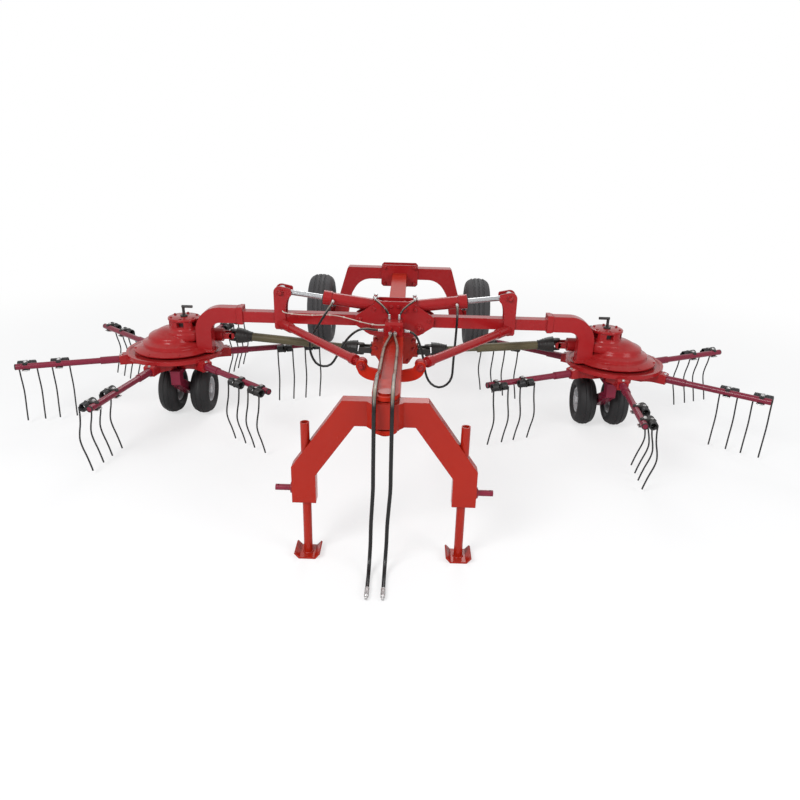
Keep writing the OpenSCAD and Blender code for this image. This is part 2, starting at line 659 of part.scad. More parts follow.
// One arm's socket under the rotor's disc.
module socket() difference() {
  intersection() {
    translate([0, 0, tine_arm_z - sleeve_d / 2 - 4]) linear_extrude(disc_z - tine_arm_z + sleeve_d / 2 + 8) polygon(concat(
      [[130, -88]], arc(disc_r - 20, -118, 84, 150, 90, 6), [[disc_r + 44, -34], [disc_r + 44, 34]],
      arc(disc_r - 20, 118, 84, 270, 210, 6), [[130, 88]]
    ));
    across(-100, 200) polygon([
      [130, disc_z - 36], [160, tine_arm_z - sleeve_d / 2 - 4], [disc_r + 44, tine_arm_z - sleeve_d / 2 - 4],
      [disc_r + 44, tine_arm_z + sleeve_d / 2 + 3], [disc_r + 20, disc_z + 4], [130, disc_z + 4]
    ]);
  }
  bar_x(disc_r - 10 - seat_gap, 0, tine_arm_z, sleeve_d + 2 * seat_gap, 100);
}

module tine_arms() color(plum) for (k = [0 : tine_arms_n - 1])
  translate([rotor_x, rotor_y, 0]) rotate([0, 0, k * 360 / tine_arms_n]) {
    bar_x(disc_r - 10, 0, tine_arm_z, sleeve_d, sleeve_r - disc_r + 10);
    bar_x(sleeve_r - 5, 0, tine_arm_z, tine_arm_d, tine_arm_r - sleeve_r + 5);
  }

// Half outline of one close-wound coil, from z0 on, seen along its axis.
function wound(z0, turns, pitch) = [for (i = [0 : turns - 1])
  each arc(coil_d / 2 - wire_d / 2, z0 + (i + 0.5) * pitch, wire_d / 2, -72, 72, 4)];

// A double coil about the x axis: two close-wound halves on one mandrel.
module double_coil() {
  half = (coil_len - coil_gap) / 2;
  core = coil_d / 2 - wire_d;
  rotate([0, 90, 0]) rotate_extrude() polygon(concat(
    [[0, -coil_len / 2 - 6], [core - 2, -coil_len / 2 - 6], [core, -coil_len / 2]],
    wound(-coil_len / 2, coil_turns, half / coil_turns),
    [[core, -coil_gap / 2], [core, coil_gap / 2]],
    wound(coil_gap / 2, coil_turns, half / coil_turns),
    [[core, coil_len / 2], [core - 2, coil_len / 2 + 6], [0, coil_len / 2 + 6]]
  ));
}

// Double coils on the trailing side of each arm, each on a clamp round the arm.
module tine_coils() color(black) for (k = [0 : tine_arms_n - 1])
  translate([rotor_x, rotor_y, 0]) rotate([0, 0, k * 360 / tine_arms_n]) difference() {
    for (r = coil_mid) {
      translate([r, coil_off, coil_z]) double_coil();
      translate([r - coil_gap / 2 + 1, -tine_arm_d / 2 - 5, tine_arm_z - tine_arm_d / 2 - 5])
        cube([coil_gap - 2, coil_off + tine_arm_d / 2 + 5, tine_arm_d + 10]);
      for (s = [-1, 1]) translate([r + s * leg_step / 2, coil_off, stub_z]) cylinder(d = wire_d + 4, h = coil_d / 2);
    }
    bar_x(sleeve_r, 0, tine_arm_z, tine_arm_d + 2 * seat_gap, tine_arm_r);
  }

// Sprung legs, bent back below the coil and forward to the tip.
module tines() color(black) for (k = [0 : tine_arms_n - 1])
  translate([rotor_x, rotor_y, 0]) rotate([0, 0, k * 360 / tine_arms_n])
    for (r = coil_mid) for (s = [-1, 1]) {
      drop = stub_z - tip_z;
      lead = [[0, 0], [0.04, 0], [0.18, 20], [0.34, 40], [0.46, 46], [0.57, 40], [0.76, 18], [0.92, 2], [1, -4]];
      tube([for (p = lead) [r + s * leg_step / 2, coil_off + p[1], stub_z - p[0] * drop]], wire_d, [1, 0, 0], 6);
    }

// Rotor wheels
module rotor_tyres() color(black) for (s = [-1, 1])
  translate([small_x + s * small_gap / 2, small_y, small_z]) rotate([0, 90, 0])
    rotate_extrude() polygon(tyre_outline(small_d / 2, small_w, 84, 2, 5));

module rotor_rims() color(crimson) for (s = [-1, 1])
  translate([small_x + s * small_gap / 2, small_y, small_z]) rotate([0, 90 * s, 0]) difference() {
    rotate_extrude() polygon([
      [0, -34], [30, -34], [30, -4], [66, -4], [72, -small_w * 0.36], [84, -small_w * 0.36],
      [84, small_w * 0.36], [72, small_w * 0.36], [66, 6], [30, 6], [26, 48], [0, 48]
    ]);
    translate([0, 0, -35]) cylinder(d = small_axle_d + 2 * run_gap, h = 35 + 41);
  }

// Cylinders, drawn along x from the base pin and then tilted into place.
module at_cylinder() translate([base_x, arm_y, base_z]) rotate([0, -cyl_tilt, 0]) children();

module barrel() color(paint) at_cylinder() difference() {
  union() {
    bar_y(0, -cyl_eye_w / 2, 0, cyl_pin_d + 44, cyl_eye_w);
    bar_x(30, 0, 0, barrel_d - 8, 20);
    bar_x(46, 0, 0, barrel_d, barrel_len - 92);
    bar_x(barrel_len - gland_len, 0, 0, barrel_d + 12, gland_len);
    bar_y(barrel_len - port_in, -barrel_d / 2 - 26, 0, 20, 40);
    translate([72, 0, 0]) cylinder(d = 20, h = barrel_d / 2 + 26);
  }
  bar_y(0, -cyl_eye_w, 0, cyl_pin_d + 2 * run_gap, 2 * cyl_eye_w);
  bar_x(70, 0, 0, rod_d + 2, barrel_len);
}

module rod() color(steel) at_cylinder() {
  bar_x(barrel_len - 120, 0, 0, rod_d, cyl_len - barrel_len + 120);
  bar_y(cyl_len, -cyl_eye_w / 2, 0, cyl_pin_d + 36, cyl_eye_w);
}

// Drive shafts, drawn along x from the inner joint and then tilted into place.
module at_drive() translate([joint_in_x, drive_y, gear_z]) rotate([0, -drive_tilt, 0]) children();

// A joint's fork: two ears above and below the axis and a web behind them.
module fork() {
  for (s = [-1, 1]) translate([0, 0, s * 32 - 6]) {
    cylinder(d = 36, h = 12);
    translate([0, -18, 0]) cube([60, 36, 12]);
  }
  translate([48, -18, -38]) cube([14, 36, 76]);
  cube([20, 20, 20], center = true);
  translate([0, 0, -34]) cylinder(d = 14, h = 68);
}

// A cross pin between a joint's other two ears.
module cross_pin(gap) bar_y(0, gap - 26, 0, 14, 52 - 2 * gap);

// A bell-shaped guard over a joint's fork, about the x axis.
module guard() rotate([0, 90, 0]) rotate_extrude() polygon([
  [drive_d / 2 - 8, 132], [drive_d / 2 + 4, 132], [drive_d / 2 + 7, 112], [47, 68], [53, 28], [49.5, 28], [43.5, 66], [drive_d / 2 - 8, 66]
]);

module drive_inner() color(steel) at_drive() {
  fork();
  guard();
  cross_pin(run_gap);
  bar_x(60, 0, 0, drive_d - 4, 70);
  bar_x(120, 0, 0, drive_d - 14, 510);
}

module drive_outer() color(olive) at_drive() {
  translate([drive_len, 0, 0]) rotate([0, 180, 0]) { fork(); guard(); }
  difference() {
    bar_x(330, 0, 0, drive_d, drive_len - 60 - 330);
    bar_x(329, 0, 0, drive_d - 12, 330);
  }
}

// Hoses
module valve_block() color(crimson) {
  along(-valve_half_w, 2 * valve_half_w) polygon([
    [valve_y, beam_top_z], [valve_y + valve_depth, beam_top_z], [valve_y + valve_depth, beam_top_z + valve_h],
    [valve_y + 14, beam_top_z + valve_h], [valve_y, beam_top_z + valve_h - 14]
  ]);
  both() bar_x(valve_half_w - 1, valve_port[1], port_z, 24, 9);
  for (x = [-26, 26]) bar_y(x, valve_y - 14, beam_top_z + valve_h - 32, 26, 20);
}

// Height of the beam's top face at a place along it.
function beam_z(y) = beam_top_z + beam_slope * max(0, beam_bend_y - y);

module beam_hoses() color(black) for (i = [0, 1]) {
  x = feed_x[i];
  r = hose_d / 2 + 1;
  tube(flow([
    [feed_from_x[i], valve_y - 0.6, port_z], [feed_from_x[i], valve_y - 6, port_z], [feed_from_x[i], valve_y - 90, port_z + 2],
    [(feed_from_x[i] + x) / 2, beam_bend_y - 90, beam_z(beam_bend_y - 90) + r + 4], [x, beam_bend_y - 270, beam_z(beam_bend_y - 270) + r + 4],
    [x, beam_bend_y / 2, beam_z(beam_bend_y / 2) + r + 4], [x, beam_front_y + 250, beam_z(beam_front_y + 250) + r + 6],
    [x, beam_front_y + 110, lug_top + r + 10], [x, beam_front_y + 34, lug_top + r + 4]
  ]), hose_d, [1, 0, 0], 8);
}

module feed_hose(x, end_x) color(black) {
  r = hose_d / 2 + 1;
  z = lug_top + r + 4;
  tube(concat(
    [[x, 109, z], [x, 40, z + 6]],
    bend([x, -10, z + 6], [x, -88, z + 4], [x, -92, z - 90], 5),
    [[x, -94, 560], [x, -94, 400], [x + (end_x - x) * 0.6, -96, 220]],
    bend([x + (end_x - x) * 0.7, -98, 130], [end_x, -104, r + 2], [end_x, -220, r + 2], 6),
    [[end_x, -270, r + 2]]
  ), hose_d, [1, 0, 0], 8);
}

module hose_couplers() color(steel) for (x = feed_end_x)
  bar_y(x, -342, hose_d / 2 + 3, hose_d + 3, 71.5);

module loop_hose(steer) color(black)
  tube(concat([gland_port], flow(concat([gland_port - [0, 6, 0]], steer, [valve_port + [6, 0, 0]])), [valve_port]),
    hose_d - 3, [1, 0, 0], 8);

placed() main_beam();
placed() king_pin();
placed() turret();
placed() fold_pins();
placed() gearbox();
placed() gearbox_shafts();
placed() axle_flange();
placed() rear_axle();
placed() valve_block();
placed() beam_hoses();
placed() feed_hose(feed_x[0], feed_end_x[0]);  // feed_hose_left
placed() feed_hose(feed_x[1], feed_end_x[1]);  // feed_hose_right
placed() hose_couplers();
placed() left() loop_hose(loop_left);  // loop_hose_left
placed() loop_hose(loop_right);  // loop_hose_right
placed() headstock();
placed() hitch_pins();
placed() left() stand();  // stand_left
placed() stand();  // stand_right
placed() left() rear_tyre();  // rear_tyre_left
placed() left() rear_rim();  // rear_rim_left
placed() rear_tyre();  // rear_tyre_right
placed() rear_rim();  // rear_rim_right
placed() left() arm();  // arm_left
placed() arm();  // arm_right
placed() left() gooseneck();  // gooseneck_left
placed() gooseneck();  // gooseneck_right
placed() left() cylinder_lug();  // cylinder_lug_left
placed() cylinder_lug();  // cylinder_lug_right
placed() left() strut();  // strut_left
placed() strut();  // strut_right
placed() left() rotor_housing();  // rotor_housing_left
placed() rotor_housing();  // rotor_housing_right
placed() left() crank();  // crank_left
placed() crank();  // crank_right
placed() left() wheel_carrier();  // wheel_carrier_left
placed() wheel_carrier();  // wheel_carrier_right
placed() left() turned(phase_left) rotor_disc();  // rotor_disc_left
placed() turned(phase_right) rotor_disc();  // rotor_disc_right
placed() left() turned(phase_left) tine_arms();  // tine_arms_left
placed() turned(phase_right) tine_arms();  // tine_arms_right
placed() left() turned(phase_left) tine_coils();  // tine_coils_left
placed() turned(phase_right) tine_coils();  // tine_coils_right
placed() left() turned(phase_left) tines();  // tines_left
placed() turned(phase_right) tines();  // tines_right
placed() left() rotor_tyres();  // rotor_tyres_left
placed() rotor_tyres();  // rotor_tyres_right
placed() left() rotor_rims();  // rotor_rims_left
placed() rotor_rims();  // rotor_rims_right
placed() left() barrel();  // barrel_left
placed() barrel();  // barrel_right
placed() left() rod();  // rod_left
placed() rod();  // rod_right
placed() left() drive_inner();  // drive_inner_left
placed() drive_inner();  // drive_inner_right
placed() left() drive_outer();  // drive_outer_left
placed() drive_outer();  // drive_outer_right

// Turns a rotor's pieces about the rotor's axis.
module turned(a) translate([rotor_x, rotor_y, 0]) rotate([0, 0, a]) translate([-rotor_x, -rotor_y, 0]) children();
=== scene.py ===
"""Looks of the twin-rotor hay rake: finishes, springs, tyres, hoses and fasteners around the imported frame."""

from __future__ import annotations

import json
import logging
import math
from dataclasses import dataclass, field
from enum import Enum
from typing import Iterable, Sequence

import bmesh
import bpy
import numpy as np
from mathutils import Matrix, Vector

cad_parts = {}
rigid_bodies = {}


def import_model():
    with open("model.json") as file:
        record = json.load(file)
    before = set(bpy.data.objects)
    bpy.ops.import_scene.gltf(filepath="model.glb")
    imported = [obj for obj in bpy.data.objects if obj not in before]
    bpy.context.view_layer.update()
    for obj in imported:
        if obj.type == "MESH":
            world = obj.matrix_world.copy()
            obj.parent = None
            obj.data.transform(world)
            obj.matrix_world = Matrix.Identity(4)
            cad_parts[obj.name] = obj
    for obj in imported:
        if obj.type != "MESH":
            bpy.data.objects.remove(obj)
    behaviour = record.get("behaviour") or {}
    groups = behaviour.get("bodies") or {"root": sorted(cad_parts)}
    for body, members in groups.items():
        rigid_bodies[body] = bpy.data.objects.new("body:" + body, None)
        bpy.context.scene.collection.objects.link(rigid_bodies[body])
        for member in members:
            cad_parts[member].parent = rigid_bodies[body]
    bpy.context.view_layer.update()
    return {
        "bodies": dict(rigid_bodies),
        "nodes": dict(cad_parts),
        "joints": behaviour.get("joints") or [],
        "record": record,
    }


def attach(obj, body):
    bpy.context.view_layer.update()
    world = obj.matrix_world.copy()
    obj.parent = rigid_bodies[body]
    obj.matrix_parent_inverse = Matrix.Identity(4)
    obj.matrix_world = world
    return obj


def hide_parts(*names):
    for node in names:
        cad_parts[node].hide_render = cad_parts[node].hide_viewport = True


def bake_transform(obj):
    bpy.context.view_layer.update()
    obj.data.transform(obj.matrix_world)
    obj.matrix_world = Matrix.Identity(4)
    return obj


LOG = logging.getLogger("hay_rake")

IMAGE_SIDE = 800
MILLI = 1000.0
# Where the shared frame's middle lies behind the hitch line, in millimetres.
MID_Y = 1768.0
# Edges flatter than this many degrees are shaded round: on plain pieces, on wire and hoses, and on weld beads.
PLAIN_EDGE, ROUND_EDGE, BEAD_EDGE = 35.0, 60.0, 70.0
# The least radius of a turned form at its axis, and the distance at which points are merged, in metres.
POLE, MERGE = 1e-5, 1e-6
# The largest share of a block's half thickness that its chamfer takes.
CHAMFER_SHARE = 0.9

Point = tuple[float, float, float]
Colour = tuple[float, float, float]
Face = tuple[int, ...]
Profile = Sequence[tuple[float, float]]
Waves = tuple[float, float]
Spot = tuple[Point, Point]
Socket = bpy.types.NodeSocket
Material = bpy.types.Material
Piece = bpy.types.Object

OUT: Point = (1.0, 0.0, 0.0)
BACK: Point = (0.0, 1.0, 0.0)
FRONT: Point = (0.0, -1.0, 0.0)
UP: Point = (0.0, 0.0, 1.0)
DOWN: Point = (0.0, 0.0, -1.0)


class Side(Enum):
    """One half of the rake, with the sign of its x."""

    LEFT = -1
    RIGHT = 1

    @property
    def word(self) -> str:
        """The side's name as the nodes carry it."""
        return self.name.lower()


class FarEnd(Enum):
    """What a hose ends in."""

    COUPLER = "connector"
    RAKE = "object"


def row(x: float, y: float, z: float) -> np.ndarray:
    """A point measured from the hitch line in millimetres, as metres in the shared frame."""
    return np.array([x, y - MID_Y, z]) / MILLI


def rows(points: Iterable[Sequence[float]]) -> np.ndarray:
    """Points measured from the hitch line in millimetres, as metres in the shared frame."""
    return np.array([row(*p) for p in points])


def mirrored(points: np.ndarray, side: Side) -> np.ndarray:
    """Right-hand points on the side that is asked for."""
    return points * np.array([side.value, 1.0, 1.0])


def unit(vector: Sequence[float]) -> np.ndarray:
    """A vector scaled to length one."""
    v = np.asarray(vector, float)
    return v / np.linalg.norm(v)


def square_to(axis: np.ndarray) -> np.ndarray:
    """A direction square to an axis."""
    return unit(np.cross(axis, np.eye(3)[int(np.argmin(np.abs(axis)))]))


def rim(count: int, u: np.ndarray, v: np.ndarray) -> np.ndarray:
    """Points of a circle of radius one in the plane of u and v."""
    turn = np.arange(count) * 2 * math.pi / count
    return np.cos(turn)[:, None] * u + np.sin(turn)[:, None] * v


def round_spots(middle: Sequence[float], r: float, count: int, u: Point, v: Point) -> list[np.ndarray]:
    """Spots on a circle in the plane of u and v, the first one half a step on from u."""
    m, a, b = np.array(middle), np.array(u), np.array(v)
    turns = [2 * math.pi * (k + 0.5) / count for k in range(count)]
    return [m + r * (math.cos(t) * a + math.sin(t) * b) for t in turns]


def smooth_path(points: Sequence[np.ndarray], count: int, steps: int = 24) -> np.ndarray:
    """Runs one smooth curve through route points.

    Args:
        points: The route's points, in order.
        count: How many evenly spaced points to return.
        steps: Points between two route points before they are spaced.

    Returns:
        The curve's points, one row each.
    """
    p = [np.asarray(q, float) for q in points]
    p = [2 * p[0] - p[1]] + p + [2 * p[-1] - p[-2]]
    dense: list[np.ndarray] = []
    for a, b, c, d in zip(p, p[1:], p[2:], p[3:]):
        knots = [0.0]
        for m, n in ((a, b), (b, c), (c, d)):
            knots.append(knots[-1] + float(np.linalg.norm(n - m)) ** 0.5)
        t0, t1, t2, t3 = knots
        for t in np.linspace(t1, t2, steps, endpoint=False):
            a1 = (t1 - t) / (t1 - t0) * a + (t - t0) / (t1 - t0) * b
            a2 = (t2 - t) / (t2 - t1) * b + (t - t1) / (t2 - t1) * c
            a3 = (t3 - t) / (t3 - t2) * c + (t - t2) / (t3 - t2) * d
            b1 = (t2 - t) / (t2 - t0) * a1 + (t - t0) / (t2 - t0) * a2
            b2 = (t3 - t) / (t3 - t1) * a2 + (t - t1) / (t3 - t1) * a3
            dense.append((t2 - t) / (t2 - t1) * b1 + (t - t1) / (t2 - t1) * b2)
    dense.append(p[-2])
    return even(dense, count)


def bend(a: Sequence[float], b: Sequence[float], c: Sequence[float], steps: int) -> list[np.ndarray]:
    """Quadratic bend from a to c that leaves towards b."""
    a, b, c = (np.asarray(q, float) for q in (a, b, c))
    return [a * (1 - s) ** 2 + b * 2 * s * (1 - s) + c * s * s for s in np.linspace(0.0, 1.0, steps + 1)]


def flow(points: Sequence[Sequence[float]], steps: int = 8) -> list[np.ndarray]:
    """Smooth line from the first to the last of some steering points.

    Args:
        points: The steering points, in order.
        steps: Points for each bend.

    Returns:
        The line's points.
    """
    p = [np.asarray(q, float) for q in points]
    last = len(p) - 2
    line = [p[0]]
    for i in range(1, last + 1):
        a = p[0] if i == 1 else (p[i - 1] + p[i]) / 2
        c = p[-1] if i == last else (p[i] + p[i + 1]) / 2
        line += bend(a, p[i], c, steps)[1:]
    return line


def even(points: Sequence[np.ndarray], count: int) -> np.ndarray:
    """A line's points set at equal steps."""
    line = np.array(points)
    run = np.concatenate([[0.0], np.cumsum(np.linalg.norm(np.diff(line, axis=0), axis=1))])
    at = np.linspace(0.0, run[-1], count)
    return np.stack([np.interp(at, run, line[:, k]) for k in range(3)], axis=1)


@dataclass
class Draft:
    """Vertices and faces of a piece that is being made; places are in metres, sizes in millimetres."""

    verts: list[Point] = field(default_factory=list)
    faces: list[Face] = field(default_factory=list)

    def add(self, points: Iterable[Sequence[float]], faces: Iterable[Face]) -> None:
        """Adds a patch whose faces count from its own first point."""
        start = len(self.verts)
        self.verts.extend(tuple(float(c) for c in p) for p in points)
        self.faces.extend(tuple(start + i for i in f) for f in faces)

    def loft(self, rings: Sequence[np.ndarray], closed: bool = False) -> None:
        """Joins closed rings of equal count into a skin.

        Args:
            rings: The rings, each with one point per row.
            closed: Whether the last ring joins the first again; if not, both are filled.
        """
        n, m = len(rings[0]), len(rings)
        faces: list[Face] = []
        for i in range(m if closed else m - 1):
            j = (i + 1) % m
            for k in range(n):
                q = (k + 1) % n
                faces.append((i * n + k, i * n + q, j * n + q, j * n + k))
        if not closed:
            faces.append(tuple(range(n - 1, -1, -1)))
            faces.append(tuple((m - 1) * n + k for k in range(n)))
        self.add(np.concatenate(rings), faces)

    def tube(self, path: np.ndarray, thick: float, sides: int) -> None:
        """Sweeps a round section along a line of points.

        Args:
            path: The line's points.
            thick: The section's diameter.
            sides: Corners of the section.
        """
        ahead = np.gradient(path, axis=0)
        ahead /= np.linalg.norm(ahead, axis=1)[:, None]
        u = square_to(ahead[0])
        rings = []
        for p, t in zip(path, ahead):
            u = unit(u - t * float(u @ t))
            rings.append(p + thick / 2 / MILLI * rim(sides, u, np.cross(t, u)))
        self.loft(rings)

    def lathe(self, profile: Profile, base: np.ndarray, axis: Sequence[float], steps: int,
              ring: bool = False) -> None:
        """Turns a profile about an axis, with a pole at each end or as a ring.

        Args:
            profile: Radius and height pairs, from one end to the other.
            base: The point on the axis at height 0.
            axis: The axis' direction.
            steps: Corners round the axis.
            ring: Whether the profile is closed and leaves the axis free.
        """
        t = unit(axis)
        u = square_to(t)
        circle = rim(steps, u, np.cross(t, u))
        self.loft([base + h / MILLI * t + max(r / MILLI, POLE) * circle for r, h in profile], closed=ring)

    def plate(self, outline: Profile, base: np.ndarray, u: np.ndarray, v: np.ndarray, thick: float,
              chamfer: float) -> None:
        """Adds a flat plate with chamfered rims.

        Args:
            outline: Its corners along u and v.
            base: The point where both are 0.
            u: The outline's first direction.
            v: The outline's second direction.
            thick: Thickness, along the cross product of u and v.
            chamfer: Width that the rims lose.
        """
        flat = np.asarray(outline, float)
        middle = flat.mean(axis=0)
        inner = middle + (flat - middle) * (1 - chamfer / np.abs(flat - middle).max())
        n = np.cross(u, v)
        rings = []
        for ring, h in ((inner, 0.0), (flat, chamfer), (flat, thick - chamfer), (inner, thick)):
            rings.append(base + (ring[:, :1] * u + ring[:, 1:] * v + h * n) / MILLI)
        self.loft(rings)

    def block(self, middle: np.ndarray, axes: np.ndarray, size: Sequence[float], chamfer: float) -> None:
        """Adds a block with chamfered edges.

        Args:
            middle: Its middle.
            axes: Its three directions, one row each.
            size: Its size along each direction.
            chamfer: Width that the edges lose.
        """
        h = np.asarray(size, float) / 2
        c = min(chamfer, CHAMFER_SHARE * float(h.min()))
        rings = []
        for z, s in ((-h[2], c), (-h[2] + c, 0.0), (h[2] - c, 0.0), (h[2], c)):
            x, y = h[0] - s, h[1] - s
            k = c - s / 2
            flat = [(x, -y + k), (x, y - k), (x - k, y), (-x + k, y),
                    (-x, y - k), (-x, -y + k), (-x + k, -y), (x - k, -y)]
            rings.append(middle + np.array([(a, b, z) for a, b in flat]) @ axes / MILLI)
        self.loft(rings)

    def piece(self, name: str, finish: Material, smooth: float) -> Piece:
        """Makes the draft into an object at the origin.

        Args:
            name: The piece's name.
            finish: Its material.
            smooth: Edges flatter than this many degrees are shaded round.

        Returns:
            The new object, linked to the scene.
        """
        mesh = bpy.data.meshes.new(name)
        mesh.from_pydata(self.verts, [], self.faces)
        mesh.validate()
        return as_piece(name, mesh, finish, smooth)


def placed(name: str, data: bpy.types.ID) -> Piece:
    """A new object that carries some data, linked to the scene."""
    obj = bpy.data.objects.new(name, data)
    bpy.context.scene.collection.objects.link(obj)
    return obj


def as_piece(name: str, mesh: bpy.types.Mesh, finish: Material, smooth: float) -> Piece:
    """Turns a mesh's faces outwards and makes it a piece.

    Args:
        name: The piece's name.
        mesh: Its mesh, in the shared frame.
        finish: Its material.
        smooth: Edges flatter than this many degrees are shaded round.

    Returns:
        The new object, linked to the scene.
    """
    work = bmesh.new()
    work.from_mesh(mesh)
    bmesh.ops.remove_doubles(work, verts=work.verts, dist=MERGE)
    bmesh.ops.recalc_face_normals(work, faces=work.faces)
    limit = math.radians(smooth)
    for face in work.faces:
        face.smooth = True
    for edge in work.edges:
        edge.smooth = len(edge.link_faces) == 2 and edge.calc_face_angle(0.0) < limit
    work.to_mesh(mesh)
    work.free()
    mesh.materials.clear()
    mesh.materials.append(finish)
    return placed(name, mesh)


class Nodes:
    """A node tree, with short calls that add nodes and join them."""

    def __init__(self, tree: bpy.types.NodeTree) -> None:
        """Takes the tree that the calls work on."""
        self.tree = tree

    def node(self, kind: str, **values: object) -> bpy.types.Node:
        """A new node; values give its inputs by name, with _ for a space, as sockets or plain values."""
        made = self.tree.nodes.new(kind)
        for key, value in values.items():
            self.link(value, made.inputs[key.replace("_", " ")])
        return made

    def link(self, value: object, into: Socket) -> None:
        """Joins a socket to an input, or sets a plain value there."""
        if isinstance(value, Socket):
            self.tree.links.new(value, into)
        else:
            into.default_value = value

    def math(self, operation: str, a: object, b: object) -> Socket:
        """The result of a sum on two values or sockets."""
        made = self.tree.nodes.new("ShaderNodeMath")
        made.operation = operation
        self.link(a, made.inputs[0])
        self.link(b, made.inputs[1])
        return made.outputs[0]

    def times(self, a: object, b: object) -> Socket:
        """The product of two values or sockets."""
        return self.math("MULTIPLY", a, b)

    def vector_math(self, operation: str, *values: Socket) -> Socket:
        """The number that a sum on vectors gives."""
        made = self.tree.nodes.new("ShaderNodeVectorMath")
        made.operation = operation
        for value, into in zip(values, made.inputs):
            self.link(value, into)
        return made.outputs["Value"]

    def spread(self, value: Socket, low: float, high: float, a: float, b: float, curve: str = "LINEAR") -> Socket:
        """A value's range from low to high stretched to a to b, and cut off there."""
        made = self.node("ShaderNodeMapRange", Value=value, From_Min=low, From_Max=high, To_Min=a, To_Max=b)
        made.interpolation_type = curve
        return made.outputs["Result"]

    def shaders(self, share: Socket, under: Socket, top: Socket) -> Socket:
        """One shader laid over another by a share."""
        made = self.tree.nodes.new("ShaderNodeMixShader")
        for value, into in zip((share, under, top), made.inputs):
            self.link(value, into)
        return made.outputs[0]


class Shading(Nodes):
    """A material's node tree, with short calls for the nodes that the finishes share."""

    bevel_samples: int = 4
    # Cosines between a face and its rounding where an edge starts, and where it counts in full.
    edge_cosines: tuple[float, float] = (0.985, 0.86)
    # Upward parts of a normal where a face starts to count as a top, and where it counts in full.
    top_parts: tuple[float, float] = (0.35, 0.95)

    def __init__(self, name: str) -> None:
        """Starts an empty material of that name."""
        self.material = bpy.data.materials.new(name)
        self.material.use_nodes = True
        super().__init__(self.material.node_tree)
        self.tree.nodes.clear()
        self.coords = self.node("ShaderNodeTexCoord")
        self.surface = self.node("ShaderNodeBsdfPrincipled")
        self.node("ShaderNodeOutputMaterial", Surface=self.surface.outputs["BSDF"])

    def noise(self, scale: float, detail: float, stretch: Point = (1.0, 1.0, 1.0)) -> Socket:
        """Noise on Object coordinates.

        Args:
            scale: Waves per metre.
            detail: Octaves.
            stretch: How much faster it runs along each axis.

        Returns:
            The noise's value socket.
        """
        mapping = self.node("ShaderNodeMapping", Vector=self.coords.outputs["Object"], Scale=stretch)
        noise = self.node("ShaderNodeTexNoise", Vector=mapping.outputs["Vector"], Scale=scale, Detail=detail)
        return noise.outputs["Fac"]

    def over(self, share: Socket, under: Socket | Colour, colour: Colour) -> Socket:
        """A colour laid over another one by a share.

        Args:
            share: Socket of the share, from 0 to 1.
            under: The colour below, as a socket or three numbers.
            colour: The colour on top, three numbers.

        Returns:
            The mixed colour's socket.
        """
        made = self.tree.nodes.new("ShaderNodeMix")
        made.data_type = "RGBA"
        sockets = [s for s in made.inputs if s.type == "RGBA"]
        self.link(share, next(s for s in made.inputs if s.type == "VALUE" and s.enabled))
        self.link(under if isinstance(under, Socket) else (*under, 1.0), sockets[0])
        self.link((*colour, 1.0), sockets[1])
        return next(s for s in made.outputs if s.type == "RGBA")

    def edges(self, radius: float) -> tuple[Socket, Socket]:
        """Rounded edges.

        Args:
            radius: The rounding's radius in metres.

        Returns:
            The rounded normal and a mask that is 1 on the edges.
        """
        bevel = self.node("ShaderNodeBevel", Radius=radius)
        bevel.samples = self.bevel_samples
        normal = bevel.outputs["Normal"]
        cosine = self.vector_math("DOT_PRODUCT", normal, self.node("ShaderNodeNewGeometry").outputs["Normal"])
        return normal, self.spread(cosine, *self.edge_cosines, 0.0, 1.0)

    def rise(self, coords: str) -> Socket:
        """The z of one of the texture coordinates."""
        return self.node("ShaderNodeSeparateXYZ", Vector=self.coords.outputs[coords]).outputs["Z"]

    def upward(self) -> Socket:
        """1 on faces that look up at rest, 0 on the others."""
        return self.spread(self.rise("Normal"), *self.top_parts, 0.0, 1.0)

    def above(self, low: float, high: float) -> Socket:
        """0 below a low height, 1 above a high one, in metres."""
        return self.spread(self.rise("Object"), low, high, 0.0, 1.0)

    def bump(self, height: Socket, strength: float, distance: float, normal: Socket | None = None) -> None:
        """Feeds a bump to the surface.

        Args:
            height: The height's socket.
            strength: Share of the bump that shows.
            distance: Depth in metres.
            normal: The normal that it starts from, if not the face's own.
        """
        made = self.node("ShaderNodeBump", Height=height, Strength=strength, Distance=distance)
        if normal is not None:
            self.link(normal, made.inputs["Normal"])
        self.link(made.outputs["Normal"], self.surface.inputs["Normal"])

    def dress(self, colour: Socket, rough: Socket) -> None:
        """Feeds the surface its colour and its roughness."""
        self.link(colour, self.surface.inputs["Base Color"])
        self.link(rough, self.surface.inputs["Roughness"])


